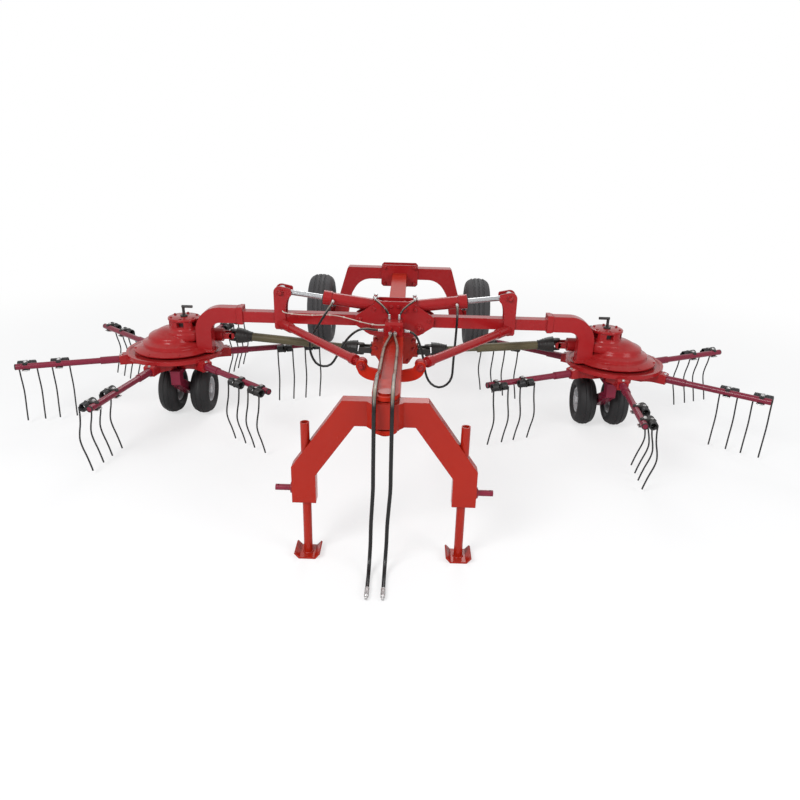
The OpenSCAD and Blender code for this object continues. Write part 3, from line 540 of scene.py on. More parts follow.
@dataclass(frozen=True)
class Paint:
    """Gloss enamel on steel, faded and dusty on top and chipped along its edges.

    Waves are waves per metre and octaves.
    """

    name: str
    colour: Colour
    shade: Colour
    chip: Colour = (0.17, 0.13, 0.12)
    dust: Colour = (0.34, 0.25, 0.20)
    roughness: float = 0.2
    gloss: float = 0.22
    edge: float = 0.0035
    dusty: float = 0.07
    chipped: float = 0.3
    slot: str = ""
    cloud: Waves = (2.6, 5.0)
    grain: Waves = (46.0, 6.0)
    streak: Waves = (9.0, 5.0)
    peel: Waves = (90.0, 2.0)
    run_down: Point = (1.0, 1.0, 0.25)
    shaded: float = 0.6
    streaked: float = 0.2
    streak_dark: float = 0.72

    def make(self) -> Material:
        """Builds the paint's material."""
        s = Shading(self.name)
        normal, edge = s.edges(self.edge)
        cloud, grain = s.noise(*self.cloud), s.noise(*self.grain)
        streak = s.noise(*self.streak, self.run_down)
        dark = tuple(self.streak_dark * c for c in self.shade)
        colour = s.over(s.spread(cloud, 0.34, 0.72, 0.0, self.shaded), self.colour, self.shade)
        colour = s.over(s.spread(streak, 0.58, 0.85, 0.0, self.streaked), colour, dark)
        colour = s.over(s.times(s.upward(), s.spread(grain, 0.35, 0.75, 0.0, self.dusty)), colour, self.dust)
        colour = s.over(s.times(edge, s.spread(grain, 0.48, 0.7, 0.0, self.chipped)), colour, self.chip)
        s.dress(colour, s.spread(grain, 0.3, 0.75, self.roughness - 0.04, self.roughness + 0.08))
        s.surface.inputs["Specular IOR Level"].default_value = self.gloss
        s.bump(s.noise(*self.peel), 0.06, 0.0006, normal)
        return s.material


@dataclass(frozen=True)
class Metal:
    """Bare steel, turned, plated or blackened."""

    name: str
    colour: Colour
    stain: Colour
    roughness: float = 0.32
    metallic: float = 1.0
    stained: float = 0.5
    edge: float = 0.0015
    bright_edge: float = 0.35
    slot: str = ""
    cloud: Waves = (11.0, 6.0)
    grain: Waves = (120.0, 5.0)
    rubbed: Colour = (0.55, 0.53, 0.5)

    def make(self) -> Material:
        """Builds the metal's material."""
        s = Shading(self.name)
        normal, edge = s.edges(self.edge)
        cloud, grain = s.noise(*self.cloud), s.noise(*self.grain)
        colour = s.over(s.spread(cloud, 0.42, 0.72, 0.0, self.stained), self.colour, self.stain)
        colour = s.over(s.times(edge, s.spread(grain, 0.4, 0.65, 0.0, self.bright_edge)), colour, self.rubbed)
        s.dress(colour, s.spread(grain, 0.3, 0.72, self.roughness - 0.05, self.roughness + 0.18))
        s.surface.inputs["Metallic"].default_value = self.metallic
        s.bump(grain, 0.1, 0.0004, normal)
        return s.material


@dataclass(frozen=True)
class Rubber:
    """Tyre and hose rubber, greyed by dust in patches, with a painted highlight, a pale cream, where it lies high and
    looks up.
    """

    name: str
    colour: Colour
    dust: Colour
    roughness: float = 0.68
    dusty: float = 0.4
    grain: float = 260.0
    bump: float = 0.25
    slot: str = ""
    gloss: float = 0.3
    # Share, colour and heights of the painted highlight: upward faces that lie high are lightened to a pale cream in
    # place of the sky's reflection on glossy rubber.
    faded: float = 0.0
    fade: Colour = (0.40, 0.34, 0.27)
    fade_from: tuple[float, float] = (0.5, 0.66)
    cloud: Waves = (7.0, 6.0)
    octaves: float = 4.0
    speckled: float = 0.35
    speck_light: float = 1.6

    def make(self) -> Material:
        """Builds the rubber's material."""
        s = Shading(self.name)
        cloud, speck = s.noise(*self.cloud), s.noise(self.grain, self.octaves)
        light = tuple(self.speck_light * c for c in self.colour)
        colour = s.over(s.spread(cloud, 0.36, 0.72, 0.0, self.dusty), self.colour, self.dust)
        colour = s.over(s.spread(speck, 0.56, 0.8, 0.0, self.speckled), colour, light)
        # Painted highlight: faces that look up and lie above a height are lightened, standing in for the sky's
        # reflection on the hoses' tops.
        lit = s.times(s.upward(), s.above(*self.fade_from))
        colour = s.over(s.times(lit, s.spread(cloud, 0.3, 0.55, 0.4 * self.faded, self.faded)), colour, self.fade)
        s.dress(colour, s.spread(cloud, 0.3, 0.75, self.roughness - 0.1, self.roughness + 0.12))
        s.surface.inputs["Specular IOR Level"].default_value = self.gloss
        s.bump(speck, self.bump, 0.0008)
        return s.material


Finish = Paint | Metal | Rubber


class Finishes:
    """The rake's finishes, each made once."""

    orange = Paint("orange_red_paint", (0.325, 0.0135, 0.005), (0.27, 0.0105, 0.005), slot="orange_red_paint")
    # Painted light: the beam's paint is a lighter copy of the orange paint, standing in for the light on the beam's
    # top.
    beam = Paint("beam_paint", (0.45, 0.020, 0.008), (0.38, 0.016, 0.007), gloss=0.05, slot="orange_red_paint")
    crimson = Paint("crimson_paint", (0.31, 0.0105, 0.012), (0.245, 0.008, 0.0105), slot="crimson_paint")
    plum = Paint("plum_paint", (0.185, 0.014, 0.034), (0.12, 0.010, 0.026), slot="plum_paint")
    silver = Paint("silver_rim_paint", (0.52, 0.53, 0.54), (0.34, 0.34, 0.35), chip=(0.2, 0.15, 0.12),
                   slot="bright_steel")
    spring = Metal("spring_steel_black", (0.010, 0.010, 0.011), (0.022, 0.017, 0.014), 0.34, 0.25,
                   bright_edge=0.12, slot="spring_steel_black")
    bright = Metal("bright_steel", (0.50, 0.50, 0.50), (0.30, 0.28, 0.26), 0.3, slot="bright_steel")
    dark = Metal("dark_steel", (0.035, 0.033, 0.033), (0.06, 0.04, 0.03), 0.42, 0.6, bright_edge=0.2,
                 slot="dark_steel")
    chrome = Metal("chrome_rod", (0.46, 0.47, 0.48), (0.33, 0.33, 0.34), 0.12, bright_edge=0.0, slot="chrome_rod")
    olive = Paint("olive_tube", (0.10, 0.085, 0.045), (0.05, 0.044, 0.03), slot="olive_tube", roughness=0.44)
    tyre = Rubber("tyre", (0.040, 0.039, 0.041), (0.088, 0.082, 0.080), slot="tyre")
    rope = Rubber("rope", (0.52, 0.45, 0.40), (0.40, 0.27, 0.22), 0.85, 0.5, 420.0, 0.4, slot="hose_rubber", gloss=0.1)
    small_tyre = Rubber("rotor_tyre", (0.011, 0.011, 0.012), (0.030, 0.028, 0.027), 0.62, slot="tyre")
    # The hose carries a painted highlight, a pale cream on its high upward faces.
    hose = Rubber("hose_rubber", (0.006, 0.006, 0.0065), (0.014, 0.013, 0.012), 0.22, 0.25, 500.0, 0.05,
                  slot="hose_rubber", faded=0.7)
    guard = Rubber("guard_plastic", (0.009, 0.0085, 0.0085), (0.030, 0.024, 0.020), 0.44, 0.4, 180.0, 0.1,
                   slot="dark_steel")

    def __init__(self) -> None:
        """Makes no material until it is asked for."""
        self.made: dict[str, Material] = {}

    def material(self, finish: Finish) -> Material:
        """The finish's material, made on first use."""
        if finish.name not in self.made:
            self.made[finish.name] = finish.make()
        return self.made[finish.name]


@dataclass
class Kit:
    """What every sub-assembly needs to make and set its pieces."""

    frame: dict
    finishes: Finishes
    count: int = 0

    def paint(self, finish: Finish, *nodes: str) -> None:
        """Gives CAD nodes a finish."""
        for name in nodes:
            slots = self.frame["nodes"][name].data.materials
            slots.clear()
            slots.append(self.finishes.material(finish))
            LOG.info("node %s finished in %s", name, finish.name)

    def seat(self, obj: Piece, body: str, finish: Finish, *nodes: str) -> Piece:
        """Sets a piece on its body.

        Args:
            obj: The piece.
            body: The CAD body that it rides on.
            finish: The finish that it has; not used.
            nodes: CAD nodes that it stands for.

        Returns:
            The piece.
        """
        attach(obj, body)
        return self.note(obj, finish, *nodes)

    def note(self, obj: Piece, finish: Finish, *nodes: str) -> Piece:
        """Hides the CAD nodes that a piece stands for, counts the piece and reports it."""
        if nodes:
            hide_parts(*nodes)
        self.count += 1
        LOG.info("piece %s, %d faces", obj.name, len(obj.data.polygons))
        return obj

    def make(self, draft: Draft, name: str, body: str, finish: Finish, *nodes: str,
             smooth: float = PLAIN_EDGE) -> Piece:
        """Makes a draft into a piece and sets it on its body."""
        return self.seat(draft.piece(name, self.finishes.material(finish), smooth), body, finish, *nodes)


class GeometryTree(Nodes):
    """A Geometry Nodes tree with named inputs that ends in real geometry with a material."""

    def __init__(self, name: str, sizes: dict[str, float]) -> None:
        """Starts a tree.

        Args:
            name: The tree's name.
            sizes: Its size inputs with their defaults.
        """
        super().__init__(bpy.data.node_groups.new(name, "GeometryNodeTree"))
        face = self.tree.interface
        face.new_socket("Geometry", in_out="INPUT", socket_type="NodeSocketGeometry")
        self.ids: dict[str, str] = {}
        for key, value in sizes.items():
            socket = face.new_socket(key, in_out="INPUT", socket_type="NodeSocketFloat")
            socket.default_value = value
            self.ids[key] = socket.identifier
        socket = face.new_socket("Finish", in_out="INPUT", socket_type="NodeSocketMaterial")
        self.ids["Finish"] = socket.identifier
        face.new_socket("Geometry", in_out="OUTPUT", socket_type="NodeSocketGeometry")
        self.start = self.node("NodeGroupInput")
        self.end = self.node("NodeGroupOutput")

    def size(self, key: str) -> Socket:
        """The socket of a named input."""
        return self.start.outputs[key]

    def attribute(self, name: str) -> Socket:
        """A direction that the points carry."""
        made = self.tree.nodes.new("GeometryNodeInputNamedAttribute")
        made.data_type = "FLOAT_VECTOR"
        made.inputs["Name"].default_value = name
        return made.outputs["Attribute"]

    def raised(self, shape: bpy.types.Node, height: Socket) -> Socket:
        """A node's mesh moved up its own z."""
        lift = self.node("ShaderNodeCombineXYZ", Z=height)
        moved = self.node("GeometryNodeTransform", Geometry=shape.outputs["Mesh"], Translation=lift.outputs[0])
        return moved.outputs[0]

    def wire(self, curve: Socket, radius: Socket, corners: int) -> bpy.types.Node:
        """A round section swept along a curve."""
        section = self.node("GeometryNodeCurvePrimitiveCircle", Resolution=corners, Radius=radius)
        return self.node("GeometryNodeCurveToMesh", Curve=curve, Profile_Curve=section.outputs["Curve"], Fill_Caps=True)

    def finish(self, shape: Socket) -> None:
        """Sets the shape on every point, along its facing and with its x along its side, and ends the tree."""
        align = self.node("FunctionNodeAlignRotationToVector", Vector=self.attribute("facing"))
        align.axis = "Z"
        roll = self.node("FunctionNodeAlignRotationToVector", Rotation=align.outputs[0], Vector=self.attribute("side"))
        roll.axis, roll.pivot_axis = "X", "Z"
        points = self.node("GeometryNodeInstanceOnPoints", Points=self.size("Geometry"), Instance=shape,
                           Rotation=roll.outputs[0])
        self.close(points.outputs[0])

    def close(self, shape: Socket) -> None:
        """Makes instances real, sets the material and ends the tree."""
        real = self.node("GeometryNodeRealizeInstances", Geometry=shape)
        done = self.node("GeometryNodeSetMaterial", Geometry=real.outputs[0], Material=self.size("Finish"))
        self.link(done.outputs[0], self.end.inputs["Geometry"])

    def grow(self, name: str, points: Sequence[np.ndarray], facing: Sequence[Sequence[float]],
             side: Sequence[Sequence[float]], finish: Material, sizes: dict[str, float],
             smooth: float = PLAIN_EDGE) -> Piece:
        """Runs the tree on points and keeps the result as a plain mesh.

        Args:
            name: The piece's name.
            points: Where the copies sit.
            facing: The direction of each copy's z.
            side: The direction of each copy's x.
            finish: The piece's material.
            sizes: The tree's inputs by name.
            smooth: Edges flatter than this many degrees are shaded round.

        Returns:
            The new object.
        """
        mesh = bpy.data.meshes.new(name + "_points")
        mesh.from_pydata([tuple(p) for p in points], [], [])
        for key, directions in (("facing", facing), ("side", side)):
            data = mesh.attributes.new(key, "FLOAT_VECTOR", "POINT")
            data.data.foreach_set("vector", np.asarray(directions, np.float32).ravel())
        return self.run(name, mesh, finish, sizes, smooth)

    def trace(self, name: str, lines: Sequence[np.ndarray], finish: Material, sizes: dict[str, float]) -> Piece:
        """Runs the tree along lines of points and keeps the result as a plain mesh."""
        verts: list[Point] = []
        edges: list[tuple[int, int]] = []
        for line in lines:
            start = len(verts)
            verts.extend(tuple(p) for p in line)
            edges.extend((start + i, start + i + 1) for i in range(len(line) - 1))
        mesh = bpy.data.meshes.new(name + "_lines")
        mesh.from_pydata(verts, edges, [])
        return self.run(name, mesh, finish, sizes, BEAD_EDGE)

    def run(self, name: str, mesh: bpy.types.Mesh, finish: Material, sizes: dict[str, float],
            smooth: float) -> Piece:
        """Evaluates the tree once on a carrier mesh.

        Args:
            name: The piece's name.
            mesh: The carrier's mesh.
            finish: The piece's material.
            sizes: The tree's inputs by name.
            smooth: Edges flatter than this many degrees are shaded round.

        Returns:
            The new object.
        """
        carrier = placed(mesh.name, mesh)
        modifier = carrier.modifiers.new("repeat", "NODES")
        modifier.node_group = self.tree
        for key, value in sizes.items():
            modifier[self.ids[key]] = value
        modifier[self.ids["Finish"]] = finish
        graph = bpy.context.evaluated_depsgraph_get()
        result = bpy.data.meshes.new_from_object(carrier.evaluated_get(graph))
        carrier.modifiers.clear()
        bpy.data.objects.remove(carrier)
        return as_piece(name, result, finish, smooth)


@dataclass(frozen=True)
class BoltSize:
    """One size of bolt, in metres."""

    head: float
    height: float
    washer: float
    rise: float = 0.002

    def inputs(self) -> dict[str, float]:
        """The bolt tree's inputs."""
        return {"Head Width": self.head, "Head Height": self.height,
                "Washer Width": self.washer, "Washer Height": self.rise}


def bolt_tree() -> GeometryTree:
    """Hexagon bolts on washers, with a chamfered head."""
    t = GeometryTree("hex_bolts", BoltSize(0.018, 0.008, 0.026).inputs())
    straight, corner, flat_top, washer_sides = 0.8, 0.577, 0.8, 16
    height, rise = t.size("Head Height"), t.size("Washer Height")
    wide = t.times(t.size("Head Width"), corner)
    washer = t.node("GeometryNodeMeshCylinder", Vertices=washer_sides, Radius=t.times(t.size("Washer Width"), 0.5),
                    Depth=rise)
    head = t.node("GeometryNodeMeshCylinder", Vertices=6, Radius=wide, Depth=t.times(height, straight))
    cap = t.node("GeometryNodeMeshCone", Vertices=6, Radius_Top=t.times(wide, flat_top), Radius_Bottom=wide,
                 Depth=t.times(height, 1 - straight))
    join = t.node("GeometryNodeJoinGeometry")
    for shape, up in ((washer, t.times(rise, 0.5)), (head, t.times(height, straight / 2)),
                      (cap, t.times(height, straight))):
        t.link(t.raised(shape, up), join.inputs[0])
    t.finish(join.outputs[0])
    return t


def coil_tree() -> GeometryTree:
    """Close-wound spring coils with round wire."""
    t = GeometryTree("spring_coils", {"Turns": 5.0, "Radius": 0.02, "Length": 0.05, "Wire": 0.0095})
    spiral = t.node("GeometryNodeCurveSpiral", Resolution=18, Rotations=t.size("Turns"),
                    Start_Radius=t.size("Radius"), End_Radius=t.size("Radius"), Height=t.size("Length"))
    t.finish(t.wire(spiral.outputs[0], t.times(t.size("Wire"), 0.5), 8).outputs[0])
    return t


def weld_tree() -> GeometryTree:
    """Weld beads along lines, rippled as the welder's hand leaves them."""
    t = GeometryTree("weld_beads", {"Bead": 0.0045, "Step": 0.003, "Ripple": 0.16})
    line = t.node("GeometryNodeMeshToCurve", Mesh=t.size("Geometry"))
    fine = t.node("GeometryNodeResampleCurve", Curve=line.outputs[0])
    fine.mode = "LENGTH"
    t.link(t.size("Step"), fine.inputs["Length"])
    odd = t.math("MODULO", t.node("GeometryNodeInputIndex").outputs[0], 2.0)
    swell = t.math("SUBTRACT", 1.0, t.times(t.size("Ripple"), odd))
    sized = t.node("GeometryNodeSetCurveRadius", Curve=fine.outputs[0], Radius=swell)
    bead = t.wire(sized.outputs[0], t.size("Bead"), 6)
    if "Scale" in bead.inputs:
        t.link(swell, bead.inputs["Scale"])
    t.close(bead.outputs[0])
    return t


@dataclass(frozen=True)
class Lamp:
    """A soft round lamp, in metres and watts."""

    name: str
    place: Point
    target: Point
    size: float
    power: float

    def build(self) -> None:
        """Sets the lamp."""
        data = bpy.data.lights.new(self.name, "AREA")
        data.shape, data.size, data.energy = "DISK", self.size, self.power
        obj = placed(self.name, data)
        obj.location = self.place
        obj.rotation_euler = (Vector(self.target) - Vector(self.place)).to_track_quat("-Z", "Y").to_euler()


@dataclass
class Studio:
    """Camera at the photograph's place, soft light and a pale floor."""

    eye: Point = (0.0847, -4.4719, 1.8853)
    pitch: float = 0.3864
    yaw: float = 0.0089
    roll: float = 0.0262
    focal_px: float = 684.6
    sensor_mm: float = 36.0
    sky: Colour = (0.95, 0.97, 1.0)
    sky_power: float = 0.45
    floor_half: float = 30.0
    floor_colour: Colour = (0.86, 0.86, 0.86)
    floor_rough: float = 0.9
    floor_gloss: float = 0.1
    fade_m: tuple[float, float] = (2.2, 5.5)
    fade_share: tuple[float, float] = (0.6, 1.0)
    lamps: tuple[Lamp, ...] = (
        Lamp("key_light", (-3.5, -6.0, 5.2), (0.0, 0.0, 0.5), 3.5, 440.0),
        Lamp("fill_light", (5.0, -4.5, 3.4), (0.0, 0.0, 0.5), 3.5, 170.0),
        Lamp("back_light", (0.5, 6.0, 6.0), (0.0, 0.5, 0.5), 4.0, 190.0))

    def camera(self) -> None:
        """Sets the camera."""
        ahead = np.array([-math.sin(self.yaw), math.cos(self.yaw), 0.0])
        right = np.array([math.cos(self.yaw), math.sin(self.yaw), 0.0])
        look = ahead * math.cos(self.pitch) - np.array(UP) * math.sin(self.pitch)
        up = ahead * math.sin(self.pitch) + np.array(UP) * math.cos(self.pitch)
        c, s = math.cos(self.roll), math.sin(self.roll)
        turn = Matrix(np.stack([right * c + up * s, -right * s + up * c, -look], axis=1).tolist())
        data = bpy.data.cameras.new("camera")
        data.sensor_width = self.sensor_mm
        data.lens = self.focal_px * self.sensor_mm / IMAGE_SIDE
        obj = placed("camera", data)
        obj.matrix_world = Matrix.Translation(self.eye) @ turn.to_4x4()
        bpy.context.scene.camera = obj

    def world(self) -> None:
        """White where the camera, gloss and glass look past the rake, plain soft light elsewhere."""
        world = bpy.data.worlds.new("studio")
        bpy.context.scene.world = world
        world.use_nodes = True
        n = Nodes(world.node_tree)
        n.tree.nodes.clear()
        rays = n.node("ShaderNodeLightPath").outputs
        clear = n.math("MAXIMUM", rays["Is Glossy Ray"], rays["Is Transmission Ray"])
        seen = n.math("MAXIMUM", rays["Is Camera Ray"], clear)
        light = n.node("ShaderNodeBackground", Color=(*self.sky, 1.0), Strength=self.sky_power)
        white = n.node("ShaderNodeBackground", Color=(1.0, 1.0, 1.0, 1.0), Strength=1.0)
        n.node("ShaderNodeOutputWorld", Surface=n.shaders(seen, light.outputs[0], white.outputs[0]))

    def floor(self) -> None:
        """Lays a pale floor that keeps a soft shadow and fades to white."""
        h = self.floor_half
        mesh = bpy.data.meshes.new("floor")
        mesh.from_pydata([(-h, -h, 0.0), (h, -h, 0.0), (h, h, 0.0), (-h, h, 0.0)], [], [(0, 1, 2, 3)])
        obj = placed("floor", mesh)
        material = bpy.data.materials.new("pale_floor")
        material.use_nodes = True
        n = Nodes(material.node_tree)
        surface = n.tree.nodes["Principled BSDF"]
        surface.inputs["Base Color"].default_value = (*self.floor_colour, 1.0)
        surface.inputs["Roughness"].default_value = self.floor_rough
        surface.inputs["Specular IOR Level"].default_value = self.floor_gloss
        away = n.vector_math("LENGTH", n.node("ShaderNodeTexCoord").outputs["Object"])
        fade = n.spread(away, *self.fade_m, *self.fade_share, "SMOOTHSTEP")
        share = n.times(n.node("ShaderNodeLightPath").outputs["Is Camera Ray"], fade)
        white = n.node("ShaderNodeEmission").outputs[0]
        n.link(n.shaders(share, surface.outputs["BSDF"], white), n.tree.nodes["Material Output"].inputs["Surface"])
        mesh.materials.append(material)

    def build(self) -> None:
        """Sets up the whole studio."""
        bpy.context.scene.view_settings.view_transform = "Standard"
        self.camera()
        self.world()
        self.floor()
        for lamp in self.lamps:
            lamp.build()
        LOG.info("studio set")


@dataclass
class Hoses:
    """Feed hoses over the headstock, their run on the beam and the hoses to the cylinders, in millimetres."""

    feed_x: tuple[float, float] = (-46.0, 30.0)
    feed_from_x: tuple[float, float] = (-20.0, 8.0)
    feed_end_x: tuple[float, float] = (-58.0, 12.0)
    feed_rise: float = 14.0
    floor_rise: float = 12.0
    feed_d: float = 18.0
    loop_d: float = 15.0
    short_d: float = 12.0
    corners: int = 14
    lug_top: float = 816.0
    beam_top: float = 660.0
    beam_bend: float = 1250.0
    beam_front: float = 76.0
    slope: float = 128.0 / 1174.0
    valve_y: float = 1330.0
    port_z: float = 684.0
    valve_port: Point = (63.6, 1385.0, 684.0)
    valve_top: Point = (30.0, 1402.0, 748.0)
    short_lead: float = 100.0
    short_drop: float = 80.0
    loop_reach: tuple[Point, Point] = ((0.0, 1400.0, 812.0), (60.0, 1400.0, 962.0))
    coupler_y: float = -342.0
    coupler: Profile = ((0, 0), (6.2, 0), (7.2, 1), (7.2, 14), (9.8, 16), (10.4, 18), (10.4, 30), (9.2, 32), (9.2, 36),
                        (10.4, 38), (10.4, 52), (9.8, 54.5), (9.8, 60), (10.4, 62), (10.4, 70), (0, 70.5))
    # The ferrule's sleeve and nut, with radii as shares of the hose's own.
    sleeve: Profile = ((0.9, 0), (1.28, 1), (1.28, 8), (1.15, 10), (1.28, 12), (1.28, 20), (1.15, 22), (1.28, 24),
                       (1.28, 32), (1.05, 35), (0.9, 35.2))
    nut: Profile = ((0.8, 0), (1.42, 0.5), (1.5, 2), (1.5, 10), (1.42, 11.5), (0.8, 12))
    loop_steer: dict[Side, tuple[Point, ...]] = field(default_factory=lambda: {
        Side.RIGHT: ((389, 1402, 831), (386, 1400, 660), (378, 1410, 480), (378, 1412, 350), (296, 1412, 292),
                     (214, 1412, 350), (190, 1410, 500), (150, 1395, 640), (108, 1385, 684)),
        Side.LEFT: ((391, 1402, 831), (478, 1402, 690), (533, 1405, 590), (524, 1408, 500), (482, 1410, 428),
                    (400, 1410, 428), (358, 1410, 500), (290, 1405, 628), (205, 1392, 694), (124, 1385, 686))})

    def beam_z(self, y: float) -> float:
        """Height of the beam's top face at a place along it."""
        return self.beam_top + self.slope * max(0.0, self.beam_bend - y)

    def feed_route(self, k: int) -> np.ndarray:
        """The route of one feed hose from the beam to its coupler."""
        x, end, z, low = self.feed_x[k], self.feed_end_x[k], self.lug_top + self.feed_rise, self.floor_rise
        lean = end - x
        mm = [(x, 109, z), (x, 75, z + 3), (x, 40, z + 6)]
        mm += bend((x, -10, z + 6), (x, -88, z + 4), (x, -92, z - 90), 5)
        mm += [(x, -94, 650), (x, -94, 560), (x, -94, 480), (x, -94, 400)]
        mm += [(x + lean * 0.3, -95, 310), (x + lean * 0.6, -96, 220)]
        mm += bend((x + lean * 0.7, -98, 130), (end, -104, low), (end, -220, low), 6)
        mm += [(end, -270, low)]
        return smooth_path(rows(mm), 40)

    def loop_route(self, side: Side, port: np.ndarray) -> np.ndarray:
        """The route of one loop from the cylinder's gland to the valve block."""
        valve = np.array(self.valve_port)
        mm = [port, *flow([port - (0, 6, 0), *self.loop_steer[side], valve + (6, 0, 0)]), valve]
        return mirrored(even(rows(mm), 40), side)

    def short_route(self, side: Side, banjo: np.ndarray) -> np.ndarray:
        """The route of one short hose from the banjo at a cylinder's base to the top of the valve block."""
        top = np.array(self.valve_top)
        lead, drop = banjo + (0.0, -self.short_lead, 4.0), top + (0.0, 0.0, self.short_drop)
        t = np.linspace(0.0, 1.0, 60)[:, None]
        path = (1 - t) ** 3 * banjo + 3 * (1 - t) ** 2 * t * lead + 3 * (1 - t) * t**2 * drop + t**3 * top
        return mirrored(even(rows(path), 30), side)

    def beam_route(self, k: int) -> np.ndarray:
        """The route of one hose along the beam."""
        r, x, start = self.feed_d / 2 + 1, self.feed_x[k], self.feed_from_x[k]
        v, b, f, port = self.valve_y, self.beam_bend, self.beam_front, self.port_z
        steer = [(start, v - 0.6, port), (start, v - 6, port), (start, v - 90, port + 2)]
        for across, y, lift in (((start + x) / 2, b - 90, 4), (x, b - 270, 4), (x, b / 2, 4), (x, f + 250, 6)):
            steer.append((across, y, self.beam_z(y) + r + lift))
        steer += [(x, f + 110, self.lug_top + r + 10), (x, f + 34, self.lug_top + r + 4)]
        return even(rows(flow(steer)), 60)

    def ferrule(self, draft: Draft, at: np.ndarray, after: np.ndarray, d: float) -> None:
        """Adds a crimped ferrule with its hexagon nut at a hose's end, towards the point after it."""
        for profile, steps in ((self.sleeve, 20), (self.nut, 6)):
            draft.lathe([(d / 2 * share, h) for share, h in profile], at, after - at, steps)

    def couplers(self, kit: Kit) -> list[Piece]:
        """Makes the couplers at the feed hoses' ends, left one first."""
        made: list[Piece] = []
        for x, side in zip(self.feed_end_x, Side):
            draft = Draft()
            draft.lathe(self.coupler, row(x, self.coupler_y, self.floor_rise), BACK, 24)
            nodes = ("hose_couplers",) if side is Side.RIGHT else ()
            made.append(kit.make(draft, f"hose_coupler_{side.word}", "frame", Finishes.bright, *nodes))
        return made

    def bent(self, kit: Kit, name: str, path: np.ndarray, d: float, side: Side, start: np.ndarray, end: np.ndarray,
             *nodes: str) -> None:
        """Makes a hose that follows the frame at one end and a cylinder at the other.

        Args:
            kit: The shared kit.
            name: The piece's name.
            path: Its line, from the cylinder to the frame.
            d: Its diameter.
            side: The cylinder's side; not used.
            start: A point towards the hose's frame end; not used.
            end: A point towards the hose's cylinder end; not used.
            nodes: CAD nodes that it stands for.
        """
        draft = Draft()
        draft.tube(path, d, self.corners)
        obj = draft.piece(name, kit.finishes.material(Finishes.hose), ROUND_EDGE)
        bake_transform(obj)
        kit.note(obj, Finishes.hose, *nodes)

    def build(self, kit: Kit, cylinder: Cylinder) -> None:
        """Makes the hoses, their ferrules and couplers.

        Args:
            kit: The shared kit.
            cylinder: The cylinders' sizes, for their ports.
        """
        couplers = self.couplers(kit)
        for k, side in enumerate(Side):
            path = self.feed_route(k)
            draft = Draft()
            draft.tube(path, self.feed_d, self.corners)
            obj = kit.make(draft, f"feed_hose_{side.word}_rubber", "frame", Finishes.hose, f"feed_hose_{side.word}",
                           smooth=ROUND_EDGE)
        fittings = Draft()
        for side in Side:
            ends = Draft()
            loop = self.loop_route(side, cylinder.gland_port())
            reach = mirrored(rows(self.loop_reach), side)
            self.bent(kit, f"loop_hose_{side.word}_rubber", loop, self.loop_d, side, *reach, f"loop_hose_{side.word}")
            short = self.short_route(side, cylinder.banjo_end())
            self.bent(kit, f"short_hose_{side.word}", short, self.short_d, side, short[-4], short[3])
            for path, d in ((loop, self.loop_d), (short, self.short_d)):
                self.ferrule(fittings, path[-1], path[-2], d)
                self.ferrule(ends, path[0], path[1], d)
            kit.make(ends, f"cylinder_ferrules_{side.word}", f"cylinder_{side.word}", Finishes.bright)
        draft = Draft()
        for k in range(len(self.feed_x)):
            path = self.beam_route(k)
            draft.tube(path, self.feed_d, self.corners)
            self.ferrule(fittings, path[0], path[1], self.feed_d)
        kit.make(draft, "beam_hoses_rubber", "frame", Finishes.hose, "beam_hoses", smooth=ROUND_EDGE)
        kit.make(fittings, "hose_ferrules", "frame", Finishes.bright)


@dataclass
class PullRope:
    """The knotted rope from the left arm's lug to the valve block, in millimetres."""

    thick: float = 6.0
    knot: Profile = ((0, -8), (3.6, -7), (5.8, -4.2), (6.2, -1), (5.4, 1), (6.0, 3), (5.2, 5.4), (3.4, 7), (0, 8))
    knots: tuple[float, ...] = (0.13, 0.3, 0.46, 0.6, 0.74, 0.88)
    steer: tuple[Point, ...] = (
        (-712, 1514, 757), (-712, 1474, 757), (-632, 1474, 746), (-520, 1480, 741), (-400, 1478, 750),
        (-300, 1462, 737), (-200, 1430, 718), (-120, 1385, 717), (-82, 1351, 727), (-54, 1350, 728))
    reach: tuple[Point, Point] = ((-130, 1560, 668), (-330, 1560, 668))

    def build(self, kit: Kit) -> None:
        """Makes the rope from the arm's lug to the block, with its knots, as still pieces in the shared frame."""
        path = even(rows(flow(self.steer)), 40)
        rope, tied = Draft(), Draft()
        rope.tube(path, self.thick, 10)
        for k in self.knots:
            i = round(k * (len(path) - 1))
            tied.lathe(self.knot, path[i], path[i + 1] - path[i - 1], 12)
        start, end = rows(self.reach)
        for draft, name in ((rope, "pull_rope"), (tied, "rope_knots")):
            obj = draft.piece(name, kit.finishes.material(Finishes.rope), ROUND_EDGE)
            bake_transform(obj)
            kit.note(obj, Finishes.rope)


